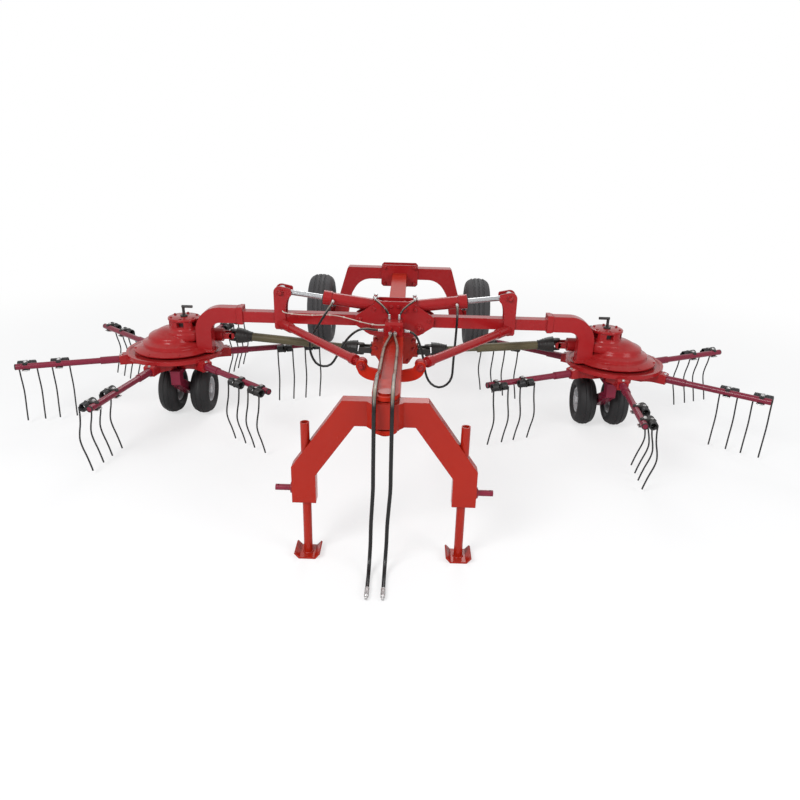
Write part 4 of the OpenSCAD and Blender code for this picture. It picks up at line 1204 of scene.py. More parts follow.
@dataclass
class Cylinder:
    """Small parts of the fold cylinders: banjos, wipers and rod nuts, in millimetres."""

    base: Point = (60.0, 1560.0, 790.0)
    eye: tuple[float, float] = (721.0, 873.0)
    barrel_d: float = 78.0
    barrel_len: float = 398.0
    port_in: float = 68.0
    port_rise: float = 26.0
    base_port: float = 72.0
    banjo_rise: float = 12.0
    banjo_out: float = 30.0
    rod_d: float = 34.0
    eye_r: float = 33.0
    nut_len: float = 20.0
    bolt: Profile = ((0, 0), (12.5, 0), (13.2, 1), (13.2, 6), (12, 7), (0, 7))
    banjo: Profile = ((10.2, -8), (15, -8), (16.2, -6), (16.2, 6), (15, 8), (10.2, 8))
    stem: Profile = ((0, 12), (7.8, 12), (7.8, 22), (10, 23), (10, 29), (9, 30), (0, 30))
    # The wiper's radii are beyond the rod, and the nut's are shares of the rod's own.
    wiper: Profile = ((0.8, -2), (13, -2), (13, 3), (11, 4.5), (4, 4.5), (1.5, 7), (0.8, 7))
    nut: Profile = ((0.9, 0), (1.42, 0), (1.55, 2), (1.55, 18), (1.42, 20), (1.40, 30), (0.9, 30))

    @property
    def length(self) -> float:
        """Distance between the two pins."""
        return math.dist((self.base[0], self.base[2]), self.eye)

    @property
    def ahead(self) -> np.ndarray:
        """Direction of the right-hand cylinder."""
        return unit((self.eye[0] - self.base[0], 0.0, self.eye[1] - self.base[2]))

    @property
    def up(self) -> np.ndarray:
        """Direction square to the cylinder, upwards."""
        a = self.ahead
        return np.array([-a[2], 0.0, a[0]])

    def spot(self, s: float, out: float = 0.0, rise: float = 0.0) -> np.ndarray:
        """A point s along the right-hand cylinder, out to the front and rise above it."""
        return np.array(self.base) + self.ahead * s + self.up * rise - np.array([0.0, out, 0.0])

    def gland_port(self) -> np.ndarray:
        """Where the loop leaves the gland's port."""
        return self.spot(self.barrel_len - self.port_in, self.barrel_d / 2 + self.port_rise + 0.6)

    def banjo_end(self) -> np.ndarray:
        """Where the short hose leaves the banjo at the base."""
        return self.spot(self.base_port, self.banjo_out, self.barrel_d / 2 + self.banjo_rise)

    def build(self, kit: Kit) -> None:
        """Makes the small parts on both sides."""
        r = self.rod_d / 2
        spots = rows((self.spot(self.base_port, rise=self.barrel_d / 2 + self.port_rise),
                      self.spot(self.base_port, rise=self.barrel_d / 2 + self.banjo_rise),
                      self.spot(self.barrel_len), self.spot(self.length - self.eye_r - self.nut_len)))
        for side in Side:
            ahead, up = mirrored(self.ahead, side), mirrored(self.up, side)
            port, turn, face, nut = mirrored(spots, side)
            base, wiper, rod = Draft(), Draft(), Draft()
            base.lathe(self.bolt, port, up, 6)
            base.lathe(self.banjo, turn, up, 28, ring=True)
            base.lathe(self.stem, turn, FRONT, 18)
            wiper.lathe([(r + more, h) for more, h in self.wiper], face, ahead, 40, ring=True)
            rod.lathe([(r * share, h) for share, h in self.nut], nut, ahead, 6)
            kit.make(base, f"base_banjo_{side.word}", f"cylinder_{side.word}", Finishes.bright)
            kit.make(wiper, f"rod_wiper_{side.word}", f"cylinder_{side.word}", Finishes.guard)
            kit.make(rod, f"rod_nut_{side.word}", f"piston_{side.word}", Finishes.dark)


@dataclass
class Drive:
    """One side's telescopic drive shaft: forks, bell guards and tubes, in millimetres."""

    side: Side
    joint: Point = (220.0, 1672.0, 470.0)
    far: tuple[float, float] = (1080.0, 540.0)
    tube_d: float = 56.0
    tube_start: float = 66.0
    inner_end: float = 630.0
    outer_start: float = 330.0
    wall: float = 6.0
    ear_r: float = 18.0
    ear_len: float = 56.0
    ear_off: float = 32.0
    ear_thick: float = 12.0
    bell: Profile = (
        (20, 132), (31, 132), (33, 130.5), (33.5, 124), (31, 121.5), (34, 118.5), (35, 112), (37.5, 108), (36, 104.5),
        (40, 98), (42.5, 93), (41, 89), (44.5, 82), (46.5, 76), (45.5, 72), (48.5, 64), (50, 52), (51, 40), (52.5, 34),
        (53, 30), (52, 28), (49.5, 28), (47, 42), (43.5, 66), (20, 66))
    cap: Profile = ((0, 36), (12, 36), (12, 38.5), (10.5, 40), (0, 40))
    hub: Profile = ((0, 46), (36, 46), (39, 49), (39, 55), (31, 61), (27, 72), (0, 72))
    cross: Profile = ((0, -30), (8.5, -30), (8.5, -11), (11, -9), (11, 9), (8.5, 11), (8.5, 30), (0, 30))
    pin: Profile = ((0, -25.5), (7, -25.5), (7, -10), (10.5, -9), (10.5, 9), (7, 10), (7, 25.5), (0, 25.5))

    @property
    def ahead(self) -> np.ndarray:
        """Direction of the shaft, from the gearbox outwards."""
        return mirrored(unit((self.far[0] - self.joint[0], 0.0, self.far[1] - self.joint[2])), self.side)

    @property
    def length(self) -> float:
        """Distance between the two joints."""
        return math.dist((self.joint[0], self.joint[2]), self.far)

    def fork(self, at: np.ndarray, ahead: np.ndarray, pinned: bool) -> Draft:
        """Makes a fork with its cross.

        Args:
            at: The joint's middle.
            ahead: Direction from the joint to the shaft.
            pinned: Whether the cross also reaches the other fork.

        Returns:
            The fork's draft.
        """
        draft, back = Draft(), np.array(BACK)
        up = np.cross(ahead, back)
        turns = np.linspace(0.0, math.pi, 11)
        ear = [(-self.ear_r * math.sin(a), self.ear_r * math.cos(a)) for a in turns]
        ear += [(self.ear_len, -self.ear_r), (self.ear_len, self.ear_r)]
        for s in (-1, 1):
            foot = at + up * (self.ear_off * s - self.ear_thick / 2) / MILLI
            draft.plate(ear, foot, ahead, back, self.ear_thick, 1.5)
            draft.lathe(self.cap, at, up * s, 16)
        draft.lathe(self.hub, at, ahead, 24)
        draft.lathe(self.cross, at, up, 16)
        if pinned:
            draft.lathe(self.pin, at, back, 16)
        return draft

    def tubes(self) -> tuple[Profile, Profile]:
        """Profiles of the inner and the outer tube, each from its own joint."""
        r, s, e = self.tube_d / 2, self.tube_start, self.inner_end
        inner = [(0, s), (r - 2, s), (r - 2, 130), (r - 7, 134), (r - 7, e - 2), (r - 9, e), (0, e)]
        bore, e = r - self.wall, self.length - self.outer_start
        outer = [(bore, s), (r, s), (r, e - 30), (r + 2.2, e - 28), (r + 2.2, e - 2), (r, e), (bore, e)]
        return inner, outer

    def build(self, kit: Kit) -> None:
        """Makes both halves of the shaft."""
        word, ahead = self.side.word, self.ahead
        near = mirrored(row(*self.joint), self.side)
        far = near + ahead * (self.length / MILLI)
        inner, outer = self.tubes()
        halves = (("inner", f"drive_in_{word}", near, ahead, inner), ("outer", f"drive_out_{word}", far, -ahead, outer))
        for half, body, at, out, _ in halves:
            bell = Draft()
            bell.lathe(self.bell, at, out, 36, ring=True)
            kit.make(bell, f"drive_bell_{half}_{word}", body, Finishes.guard, f"drive_{half}_{word}", smooth=50.0)
            kit.make(self.fork(at, out, half == "inner"), f"drive_fork_{half}_{word}", body, Finishes.dark)
        for half, body, at, out, profile in halves:
            tube = Draft()
            tube.lathe(profile, at, out, 28, ring=half == "outer")
            kit.make(tube, f"drive_tube_{half}_{word}", body, Finishes.olive)


@dataclass
class Rotor:
    """Tine springs and clamps on one rotor's arms, in millimetres."""

    side: Side
    x: float = 1454.0
    y: float = 1620.0
    arm_z: float = 405.0
    arm_d: float = 38.0
    arm_r: float = 965.0
    coil_mid: tuple[float, float] = (716.0, 906.0)
    coil_d: float = 50.0
    coil_len: float = 112.0
    coil_gap: float = 14.0
    turns: float = 5.0
    wire: float = 9.5
    coil_off: float = 47.0
    tip_z: float = 20.0
    socket_r: float = 340.0
    arms: int = 6
    phases: tuple[float, float] = (-20.0, 25.0)
    # How far behind its coil a leg lies, at shares of its drop.
    sway: Profile = ((28, 0.18), (41, 0.34), (46, 0.46), (40, 0.57), (18, 0.76), (2, 0.92))
    plug: Profile = ((0, -6), (18.8, -6), (19.2, -4), (19.2, 0.5), (17.8, 2), (15, 2.2), (13.5, -3), (0, -3.5))
    pin: Profile = ((0, -26), (8.5, -26), (8.5, -24), (6, -23), (6, 23), (8.5, 24), (8.5, 26), (0, 26))
    clamp: Point = (30.0, 60.0, 52.0)
    clamp_off: float = 14.0
    saddle: Point = (44.0, 48.0, 6.0)
    core: tuple[float, float] = (46.0, 44.0)
    bolt: BoltSize = BoltSize(0.016, 0.008, 0.022)
    bolt_off: float = 8.0

    @property
    def phase(self) -> float:
        """Angle of the first arm on the right-hand model of this side."""
        return self.phases[0] if self.side is Side.LEFT else self.phases[1]

    def at(self, k: int, r: float, t: float, z: float) -> np.ndarray:
        """A point on arm k, r out, t behind it and z up, in metres."""
        a = math.radians(self.phase + 360.0 / self.arms * k)
        p = row(self.x + r * math.cos(a) - t * math.sin(a), self.y + r * math.sin(a) + t * math.cos(a), z)
        return mirrored(p, self.side)

    def axes(self, k: int) -> np.ndarray:
        """Directions of arm k: outwards, towards its coils and up."""
        hub = self.at(k, 0.0, 0.0, 0.0)
        out, behind = self.at(k, MILLI, 0.0, 0.0) - hub, self.at(k, 0.0, MILLI, 0.0) - hub
        return np.array([unit(out), unit(behind), UP])

    def leg(self, k: int, r: float) -> np.ndarray:
        """The line of one sprung leg, from its coil to the tip."""
        mean, top = (self.coil_d - self.wire) / 2, self.arm_z
        stub = top - self.coil_d / 2 - 8
        drop = stub - self.tip_z
        shape = [(mean, top + 3), (mean, top - 10), (mean + 0.5, stub)]
        shape += [(t, stub - share * drop) for t, share in self.sway]
        shape.append((-4, self.tip_z + 3))
        return smooth_path([self.at(k, r, self.coil_off + t, z) for t, z in shape], 34)

    def build(self, kit: Kit, coils: GeometryTree, bolts: GeometryTree) -> None:
        """Makes the springs, their clamps and bolts.

        Args:
            kit: The shared kit.
            coils: The tree that winds coils.
            bolts: The tree that makes bolts.
        """
        body, word, z = f"rotor_{self.side.word}", self.side.word, self.arm_z
        winds: list[tuple[np.ndarray, np.ndarray, np.ndarray]] = []
        heads: list[tuple[np.ndarray, np.ndarray, np.ndarray]] = []
        legs, clamps, saddles, plugs = Draft(), Draft(), Draft(), Draft()
        for k in range(self.arms):
            axes = self.axes(k)
            out, behind, up = axes
            plugs.lathe(self.plug, self.at(k, self.arm_r, 0.0, z), out, 24)
            heads.append((self.at(k, self.socket_r, 0.0, z + 30), up, out))
            heads.append((self.at(k, self.socket_r, 0.0, z - 28), -up, out))
            for mid in self.coil_mid:
                for s in (-1, 1):
                    near = mid + s * (self.coil_gap + self.wire) / 2
                    winds.append((self.at(k, near, self.coil_off, z), out * s, behind))
                    legs.tube(self.leg(k, mid + s * (self.coil_len - self.wire) / 2), self.wire, 8)
                clamps.block(self.at(k, mid, self.clamp_off, z), axes, self.clamp, 6)
                saddles.block(self.at(k, mid, 0.0, z - self.arm_d / 2 - 3), axes, self.saddle, 2)
                saddles.lathe(self.pin, self.at(k, mid, self.coil_off, z), up, 12)
                clamps.block(self.at(k, mid, self.coil_off, z), axes, (self.coil_gap - 1, *self.core), 8)
                for s in (1, -1):
                    heads.append((self.at(k, mid, self.bolt_off, z + s * self.clamp[2] / 2), up * s, out))
        half = (self.coil_len - self.coil_gap) / 2
        sizes = {"Turns": self.turns, "Radius": (self.coil_d - self.wire) / 2 / MILLI,
                 "Length": (half - self.wire) / MILLI, "Wire": self.wire / MILLI}
        spring, bright = kit.finishes.material(Finishes.spring), kit.finishes.material(Finishes.bright)
        kit.seat(coils.grow(f"tine_springs_{word}", *zip(*winds), spring, sizes, ROUND_EDGE), body, Finishes.spring)
        kit.make(legs, f"tine_legs_{word}", body, Finishes.spring, f"tines_{word}", smooth=ROUND_EDGE)
        kit.make(clamps, f"tine_clamps_{word}", body, Finishes.guard, f"tine_coils_{word}", smooth=30.0)
        kit.make(saddles, f"tine_saddles_{word}", body, Finishes.bright, smooth=30.0)
        kit.make(plugs, f"arm_plugs_{word}", body, Finishes.guard)
        kit.seat(bolts.grow(f"clamp_bolts_{word}", *zip(*heads), bright, self.bolt.inputs()), body, Finishes.bright)


@dataclass
class Tyre:
    """A ribbed tyre, turned about its axle, in millimetres."""

    radius: float
    width: float
    bead: float
    ribs: int
    groove: float
    deep: float
    waves: int
    wave: float
    belly: float = 0.45
    power: float = 2.2
    shoulder: tuple[float, ...] = (0.985, 0.955, 0.91, 0.86, 0.81, 0.77)
    tread: float = 0.76

    @property
    def wide(self) -> float:
        """Radius at which the tyre is widest."""
        return self.bead + (self.radius - self.bead) * self.belly

    def skin(self, offset: float) -> float:
        """Radius of the rounded crown at an offset from the tyre's middle."""
        share = min(1.0, abs(offset) * 2 / self.width)
        return self.wide + (self.radius - self.wide) * (1 - share**self.power) ** (1 / self.power)

    def outline(self) -> list[Point]:
        """Section as radius, offset and share of the groove's wave."""
        h, b, m = self.width / 2, self.bead, self.wide
        wall = [(b - 2, 0.70), (b + 3, 0.745), (b + 8, 0.75), (b + 11, 0.80),
                (b + (m - b) * 0.5, 0.93), (b + (m - b) * 0.75, 0.98), (m, 1.0)]
        left = [(q, -h * k, 0.0) for q, k in wall]
        left += [(self.skin(h * k), -h * k, 0.0) for k in self.shoulder]
        crown: list[Point] = []
        grooves = [h * self.tread * (2 * (i + 1) / self.ribs - 1) for i in range(self.ribs - 1)]
        g = self.groove / 2
        for i, c in enumerate(grooves):
            lift = self.skin(c)
            bank = [(lift - 0.6, g + 1.5), (lift - 1.8, g), (lift - self.deep, g * 0.6)]
            crown += [(q, c - o, 1.0) for q, o in bank] + [(q, c + o, 1.0) for q, o in reversed(bank)]
            if i < len(grooves) - 1:
                n = (c + grooves[i + 1]) / 2
                crown.append((self.skin(n), n, 0.0))
        right = [(q, -o, w) for q, o, w in reversed(left)]
        return left + crown + right

    def add(self, draft: Draft, middle: np.ndarray) -> None:
        """Adds the tyre round a middle, with its axle along x."""
        outline = self.outline()
        steps = self.waves * 4
        rings = []
        for i in range(steps):
            a = 2 * math.pi * i / steps
            shift = self.wave * (1 - abs(i % 4 - 2))
            ring = [(o + shift * w, q * math.cos(a), q * math.sin(a)) for q, o, w in outline]
            rings.append(middle + np.array(ring) / MILLI)
        draft.loft(rings, closed=True)


@dataclass
class Wheels:
    """Rear wheels and the twin wheels under the rotors, in millimetres; nut circles are in metres."""

    rear: Tyre = field(default_factory=lambda: Tyre(310.0, 205.0, 190.0, 4, 15.0, 9.0, 40, 2.4))
    small: Tyre = field(default_factory=lambda: Tyre(165.0, 125.0, 84.0, 3, 5.0, 3.0, 24, 0.0, 0.42, 2.0))
    rear_x: float = 686.0
    rear_y: float = 3280.0
    small_x: float = 1394.0
    small_gap: float = 212.0
    small_y: float = 1630.0
    rear_nut: BoltSize = BoltSize(0.024, 0.016, 0.036, 0.003)
    rear_circle: tuple[float, float, int] = (0.020, 0.092, 5)
    small_nut: BoltSize = BoltSize(0.016, 0.010, 0.024)
    small_circle: tuple[float, float, int] = (0.006, 0.048, 4)

    def build(self, kit: Kit, bolts: GeometryTree) -> None:
        """Makes the tyres and the wheels' nuts."""
        for side in Side:
            word = side.word
            along = np.array([side.value, 0.0, 0.0])
            hub = mirrored(row(self.rear_x, self.rear_y, self.rear.radius), side)
            twins = [(s, mirrored(row(self.small_x + s * self.small_gap / 2, self.small_y, self.small.radius), side))
                     for s in (-1, 1)]
            rear, small = Draft(), Draft()
            self.rear.add(rear, hub)
            for _, middle in twins:
                self.small.add(small, middle)
            kit.make(rear, f"rear_tyre_{word}_rubber", f"rear_wheel_{word}", Finishes.tyre, f"rear_tyre_{word}",
                     smooth=42.0)
            kit.make(small, f"rotor_tyres_{word}_rubber", f"rotor_wheels_{word}", Finishes.small_tyre,
                     f"rotor_tyres_{word}", smooth=42.0)
            self.nuts(kit, bolts, f"rear_wheel_nuts_{word}", f"rear_wheel_{word}", [(along, hub)],
                      self.rear_circle, self.rear_nut)
            self.nuts(kit, bolts, f"rotor_wheel_nuts_{word}", f"rotor_wheels_{word}",
                      [(along * s, middle) for s, middle in twins], self.small_circle, self.small_nut)

    def nuts(self, kit: Kit, bolts: GeometryTree, name: str, body: str, hubs: list[tuple[np.ndarray, np.ndarray]],
             circle: tuple[float, float, int], size: BoltSize) -> None:
        """Sets the nuts of one body's wheels.

        Args:
            kit: The shared kit.
            bolts: The tree that makes bolts.
            name: The piece's name.
            body: The body that it rides on.
            hubs: Each wheel's outward direction and middle.
            circle: How far out the nuts sit, their circle's radius and their count.
            size: The nuts' size.
        """
        off, r, count = circle
        spots = [(spot, out) for out, hub in hubs for spot in round_spots(hub + out * off, r, count, BACK, UP)]
        obj = bolts.grow(name, *zip(*spots), [UP] * len(spots), kit.finishes.material(Finishes.bright), size.inputs())
        kit.seat(obj, body, Finishes.bright)


@dataclass
class Fasteners:
    """Bolts on the frame and the arms, given for the right-hand side in millimetres and mirrored."""

    small: BoltSize = BoltSize(0.013, 0.007, 0.018)
    middle: BoltSize = BoltSize(0.018, 0.010, 0.026)
    large: BoltSize = BoltSize(0.024, 0.014, 0.032, 0.003)
    rotor: Point = (1454.0, 1620.0, 476.0)
    flange_r: float = 250.0
    flange_bolts: int = 8
    drum: Point = (1379.0, 1620.0, 672.0)
    drum_r: float = 84.0
    drum_bolts: int = 6
    gear: Point = (150.0, 1672.0, 470.0)
    gear_r: float = 42.0
    gear_bolts: int = 6
    gear_front: float = 1624.0
    cap_front: float = 1572.0
    cap_r: float = 38.0
    plates_y: tuple[float, float] = (1499.0, 1621.0)
    lug_y: tuple[float, float] = (1505.0, 1615.0)
    # Sides of upright bolts and of the others, which turn their heads a little.
    turned: tuple[Point, Point] = ((1.0, 0.35, 0.0), (0.3, 0.2, 1.0))

    def ring(self, middle: Point, r: float, count: int, u: Point, v: Point, facing: Point) -> list[Spot]:
        """Spots round a circle in the plane of u and v."""
        return [(tuple(spot), facing) for spot in round_spots(middle, r, count, u, v)]

    def frame_spots(self) -> dict[str, list[Spot]]:
        """Right-hand spots on the frame by size."""
        z, r = self.gear[2], self.cap_r
        small = self.ring(self.gear, self.gear_r, self.gear_bolts, BACK, UP, OUT)
        small += [((r * math.sin(t), self.cap_front, z + r * math.cos(t)), FRONT) for t in (0.52, 1.57, 2.62)]
        small += [((44.0, y, 748.0), UP) for y in (1352.0, 1430.0)]
        middle = [((x, self.gear_front, z), FRONT) for x, z in ((122.0, 548.0), (124.0, 490.0), (92.0, 408.0))]
        for y, facing in zip(self.plates_y, (FRONT, BACK)):
            middle += [((x, y, z), facing) for x, z in ((218.0, 720.0), (130.0, 788.0), (22.0, 806.0))]
        large = [((128.0, y, z), facing) for y, facing in ((3203.0, FRONT), (3357.0, BACK)) for z in (572.0, 714.0)]
        large += [((158.0, 746.0, 668.0), FRONT), ((158.0, 1491.0, 668.0), FRONT), ((60.0, 1491.0, 790.0), FRONT),
                  ((158.0, 1629.0, 668.0), BACK), ((60.0, 1629.0, 790.0), BACK)]
        return {"small": small, "middle": middle, "large": large}

    def arm_spots(self) -> dict[str, list[Spot]]:
        """Right-hand spots on the folding arm by size, without those that the gooseneck's foot covers."""
        flange = self.ring(self.rotor, self.flange_r, self.flange_bolts, OUT, BACK, UP)
        clear = [spot for spot in flange if not (spot[0][0] < 1300.0 and 1490.0 < spot[0][1] < 1710.0)]
        small = self.ring(self.drum, self.drum_r, self.drum_bolts, OUT, BACK, UP)
        large = [((721.0, self.lug_y[0], 873.0), FRONT), ((721.0, self.lug_y[1], 873.0), BACK),
                 ((729.0, 1560.0, 634.0), DOWN)]
        return {"small": small + clear, "large": large}

    def build(self, kit: Kit, bolts: GeometryTree) -> None:
        """Sets all the bolts, painted over with what they hold."""
        for size, spots in self.frame_spots().items():
            self.fix(kit, bolts, f"frame_bolts_{size}", "frame", getattr(self, size), spots, *Side)
        for side in Side:
            for size, spots in self.arm_spots().items():
                name = f"arm_bolts_{size}_{side.word}"
                self.fix(kit, bolts, name, f"arm_{side.word}", getattr(self, size), spots, side)

    def fix(self, kit: Kit, bolts: GeometryTree, name: str, body: str, size: BoltSize, spots: list[Spot],
            *sides: Side) -> None:
        """Makes one piece of like bolts.

        Args:
            kit: The shared kit.
            bolts: The tree that makes bolts.
            name: The piece's name.
            body: The body that it rides on.
            size: The bolts' size.
            spots: Each bolt's right-hand place and facing.
            sides: The sides that it has bolts on.
        """
        places = [mirrored(row(*at), side) for side in sides for at, _ in spots]
        facing = [mirrored(np.array(f), side) for side in sides for _, f in spots]
        turn = [self.turned[0] if abs(f[2]) > 0.5 else self.turned[1] for f in facing]
        paint = kit.finishes.material(Finishes.crimson)
        kit.seat(bolts.grow(name, places, facing, turn, paint, size.inputs()), body, Finishes.crimson)


@dataclass
class Welds:
    """Weld beads where plates and tubes meet, given for the right-hand side in millimetres and mirrored."""

    sizes: dict[str, float] = field(default_factory=lambda: {"Bead": 0.0042, "Step": 0.003, "Ripple": 0.16})
    strut: tuple[Point, Point] = ((158.0, 800.0, 668.0), (712.0, 1513.0, 668.0))
    strut_r: float = 25.0
    strut_in: tuple[float, float] = (100.0, 110.0)
    stand_foot: Point = (350.0, 0.0, 9.0)
    stand_r: float = 21.0

    def box(self, corners: Sequence[Point]) -> list[Point]:
        """A closed line through corners."""
        return [*corners, corners[0]]

    def circle(self, middle: Sequence[float], r: float, u: Sequence[float], v: Sequence[float]) -> list[Point]:
        """Points of a whole circle in the plane of u and v."""
        m, a, b = np.array(middle), unit(u), unit(v)
        turns = np.radians(np.linspace(0.0, 360.0, 33))
        return [tuple(m + r * (math.cos(t) * a + math.sin(t) * b)) for t in turns]

    def frame_lines(self) -> list[list[Point]]:
        """Right-hand lines on the frame."""
        lines: list[list[Point]] = [[(60, y, 584), (60, y, 645)] for y in (754, 774)]
        lines += [[(60, y, 607), (60, y, 660), (0, y, 660)] for y in (1499, 1621)]
        lines.append([(60, 3215, 545), (60, 3215, 656)])
        lines += [[(0, 3215, 660), (60, 3215, 660)], [(60, 76, 674), (60, 76, 770)]]
        lines.append(self.circle((573.5, 3280, 310), 25, BACK, UP))
        lines += [[(55, y, 660), (0, y, 660)] for y in (1330, 1440)]
        lines.append([(55, 1330, 660), (55, 1440, 660)])
        return lines

    def head_lines(self) -> list[list[Point]]:
        """Right-hand lines on the headstock."""
        lines: list[list[Point]] = [[(42.5, y, 672), (42.5, y, 784)] for y in (-30, 30)]
        lines += [self.circle((x, 0, 345), r, BACK, UP) for x, r in ((420.5, 14), (412.5, 25))]
        return lines

    def arm_lines(self) -> list[list[Point]]:
        """Right-hand lines on the folding arm."""
        foot, top = (np.array(p) for p in self.strut)
        along = unit(top - foot)
        side = (along[1], -along[0], 0.0)
        lines: list[list[Point]] = [self.box([(969, 1525, 670), (969, 1525, 740), (969, 1595, 740), (969, 1595, 670)])]
        lines.append(self.box([(1008, 1520, 663), (1008, 1520, 763), (1008, 1600, 763), (1008, 1600, 663)]))
        lines += [[(x, y, 672), (x, y, 739)] for x in (693, 765) for y in (1525, 1595)]
        lines += [[(693, y, 740), (765, y, 740)] for y in (1525, 1595)]
        lines.append(self.circle(foot + along * self.strut_in[0], self.strut_r, side, UP))
        lines.append(self.circle(top - along * self.strut_in[1], self.strut_r, side, UP))
        lines.append(self.box([(1181, 1520, 477), (1281, 1520, 477), (1281, 1600, 477), (1181, 1600, 477)]))
        return lines

    def lay(self, kit: Kit, welds: GeometryTree, name: str, body: str, finish: Finish, lines: list[list[Point]],
            *sides: Side) -> None:
        """Lays one piece of beads.

        Args:
            kit: The shared kit.
            welds: The tree that makes beads.
            name: The piece's name.
            body: The body that it rides on.
            finish: The paint of what they join.
            lines: The beads' right-hand lines.
            sides: The sides that it has beads on.
        """
        placed_lines = [mirrored(rows(line), side) for side in sides for line in lines]
        kit.seat(welds.trace(name, placed_lines, kit.finishes.material(finish), self.sizes), body, finish)

    def build(self, kit: Kit, welds: GeometryTree) -> None:
        """Lays the beads in the paint of what they join."""
        self.lay(kit, welds, "frame_welds", "frame", Finishes.orange, self.frame_lines(), *Side)
        self.lay(kit, welds, "headstock_welds", "headstock", Finishes.orange, self.head_lines(), *Side)
        foot = [self.circle(self.stand_foot, self.stand_r, OUT, BACK)]
        for side in Side:
            word = side.word
            self.lay(kit, welds, f"arm_welds_{word}", f"arm_{word}", Finishes.crimson, self.arm_lines(), side)
            self.lay(kit, welds, f"stand_weld_{word}", f"stand_{word}", Finishes.orange, foot, side)


@dataclass
class SwivelCover:
    """The folded plate over the front of the headstock's swivel tube, in millimetres."""

    outline: Profile = ((-80, -29), (-58, -56), (58, -56), (80, -29))
    low: float = 668.0
    high: float = 786.0

    def build(self, kit: Kit) -> None:
        """Makes the cover."""
        draft = Draft()
        draft.loft([rows((x, y, z) for x, y in self.outline) for z in (self.low, self.high)])
        kit.make(draft, "swivel_cover", "headstock", Finishes.orange, smooth=20.0)


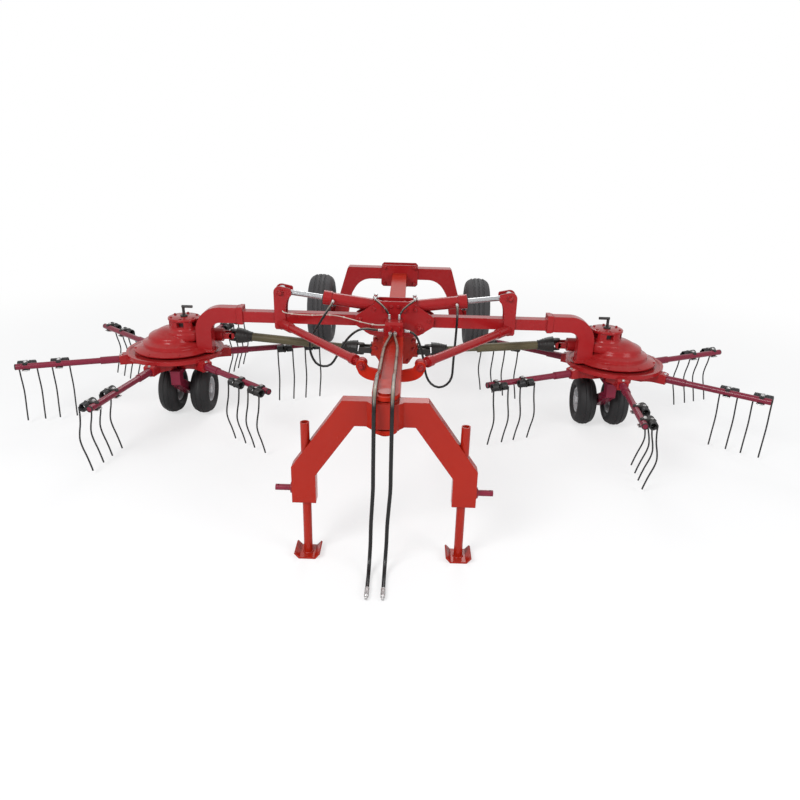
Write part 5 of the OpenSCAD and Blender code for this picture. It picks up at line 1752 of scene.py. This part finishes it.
@dataclass
class Housing:
    """The stepped housing over each rotor, with its pierced drum and the drive's fork, in millimetres."""

    axis: Point = (1454.0, 1620.0, 476.0)
    drum: Point = (1379.0, 1620.0, 476.0)
    joint: Point = (1080.0, 1672.0, 540.0)
    foot: Point = (1231.0, 1560.0, 469.0)
    foot_size: Point = (128.0, 108.0, 14.0)
    drum_r: float = 98.0
    core_r: float = 66.0
    posts: int = 6
    window: tuple[float, float] = (144.0, 176.0)
    window_half: float = 22.0
    ear_off: float = 32.0
    ear_size: Point = (54.0, 12.0, 40.0)
    dome: Profile = (
        (0, -14), (255, -14), (260, -10), (260, -3), (257, 0), (209, 14), (205.5, 15.5), (204, 19), (203.5, 32),
        (202, 36.5), (197, 39.5), (178, 46), (169, 51.5), (164, 59), (162, 72), (158.5, 79.5), (150, 85.5), (122, 97),
        (96, 111), (72, 122), (0, 122))
    drum_base: Profile = ((0, 60), (128, 60), (130, 63), (130, 100), (128, 107), (121, 113), (106, 119), (100, 126),
                          (98, 142), (98, 144), (0, 144))
    drum_cap: Profile = ((0, 176), (98, 176), (98, 180), (103, 182), (103, 191), (101, 194), (96, 196), (0, 196))
    shaft: Profile = ((0, 0), (42, 0), (44, 2), (44, 274), (0, 274))
    collar: Profile = ((0, 0), (30, 0), (31, 1), (31, 20), (0, 20))
    eye: Profile = ((0, 0), (19, 0), (20, 1), (20, 11), (19, 12), (0, 12))

    @property
    def gap(self) -> tuple[float, float]:
        """Heights of the posts and the core, which reach a little past the windows."""
        return self.window[0] - 1, self.window[1] + 1

    def turn(self, draft: Draft, profile: Profile, base: Point, axis: Point, side: Side, steps: int) -> None:
        """Adds a turned form on one side."""
        draft.lathe(profile, mirrored(row(*base), side), mirrored(np.array(axis), side), steps)

    def add_posts(self, draft: Draft, side: Side) -> None:
        """Adds the posts between the drum's windows."""
        middle = mirrored(row(*self.drum), side)
        half = math.pi / self.posts - math.asin(self.window_half / self.drum_r)
        for k in range(self.posts):
            turns = 2 * math.pi * k / self.posts + np.linspace(-half, half, 7)
            faces = ((self.drum_r, turns), (self.core_r - 4, turns[::-1]))
            flat = [(r * math.cos(t), r * math.sin(t)) for r, ts in faces for t in ts]
            draft.loft([middle + np.array([(x, y, h) for x, y in flat]) / MILLI for h in self.gap])

    def build(self, kit: Kit) -> None:
        """Makes both housings in place of the CAD ones."""
        x, y, z = self.joint
        long, thick, _ = self.ear_size
        low, high = self.gap
        core = [(0, low), (self.core_r, low), (self.core_r, high), (0, high)]
        for side in Side:
            draft, inside = Draft(), Draft()
            self.turn(draft, self.dome, self.axis, UP, side, 96)
            self.turn(draft, self.drum_base, self.drum, UP, side, 72)
            self.turn(draft, self.drum_cap, self.drum, UP, side, 72)
            self.add_posts(draft, side)
            draft.block(mirrored(row(*self.foot), side), np.eye(3), self.foot_size, 2)
            self.turn(draft, self.shaft, (x + 62, y, z), OUT, side, 40)
            self.turn(draft, self.collar, (x + 48, y, z), OUT, side, 32)
            for ear_y in (y - self.ear_off, y + self.ear_off):
                self.turn(draft, self.eye, (x, ear_y - thick / 2, z), BACK, side, 32)
                draft.block(mirrored(row(x + long / 2, ear_y, z), side), np.eye(3), self.ear_size, 1)
            self.turn(inside, core, self.drum, UP, side, 40)
            kit.make(draft, f"housing_{side.word}", f"arm_{side.word}", Finishes.crimson, f"rotor_housing_{side.word}")
            kit.make(inside, f"drum_core_{side.word}", f"arm_{side.word}", Finishes.dark)


class Paintwork:
    """Finishes of the CAD nodes that show as they are."""

    plain: dict[str, Finish] = {
        # The main beam takes the lighter copy of the orange paint, painted light for the light on its top.
        "main_beam": Finishes.beam, "headstock": Finishes.orange, "king_pin": Finishes.orange,
        "turret": Finishes.crimson, "fold_pins": Finishes.crimson, "gearbox": Finishes.orange,
        "gearbox_shafts": Finishes.dark, "axle_flange": Finishes.crimson, "rear_axle": Finishes.crimson,
        "valve_block": Finishes.crimson, "hitch_pins": Finishes.plum,
    }
    paired: dict[str, Finish] = {
        "stand": Finishes.orange, "rear_rim": Finishes.silver, "arm": Finishes.crimson, "gooseneck": Finishes.crimson,
        "cylinder_lug": Finishes.crimson, "strut": Finishes.crimson, "crank": Finishes.dark,
        "wheel_carrier": Finishes.plum, "rotor_disc": Finishes.crimson, "tine_arms": Finishes.plum,
        "rotor_rims": Finishes.silver, "barrel": Finishes.crimson, "rod": Finishes.chrome,
    }

    def dress(self, kit: Kit) -> None:
        """Gives every CAD node its finish."""
        for name, finish in self.plain.items():
            kit.paint(finish, name)
        for name, finish in self.paired.items():
            kit.paint(finish, *(f"{name}_{side.word}" for side in Side))


def main() -> None:
    """Builds the scene in order."""
    logging.basicConfig(level=logging.INFO, format="%(name)s: %(message)s")
    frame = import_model()
    kit = Kit(frame, Finishes())
    Studio().build()
    cylinder = Cylinder()
    Hoses().build(kit, cylinder)
    PullRope().build(kit)
    Paintwork().dress(kit)
    cylinder.build(kit)
    bolts, coils = bolt_tree(), coil_tree()
    for side in Side:
        Drive(side).build(kit)
        Rotor(side).build(kit, coils, bolts)
    Housing().build(kit)
    SwivelCover().build(kit)
    Wheels().build(kit, bolts)
    Fasteners().build(kit, bolts)
    Welds().build(kit, weld_tree())
    LOG.info("%d pieces made", kit.count)


if __name__ == "__main__":
    main()
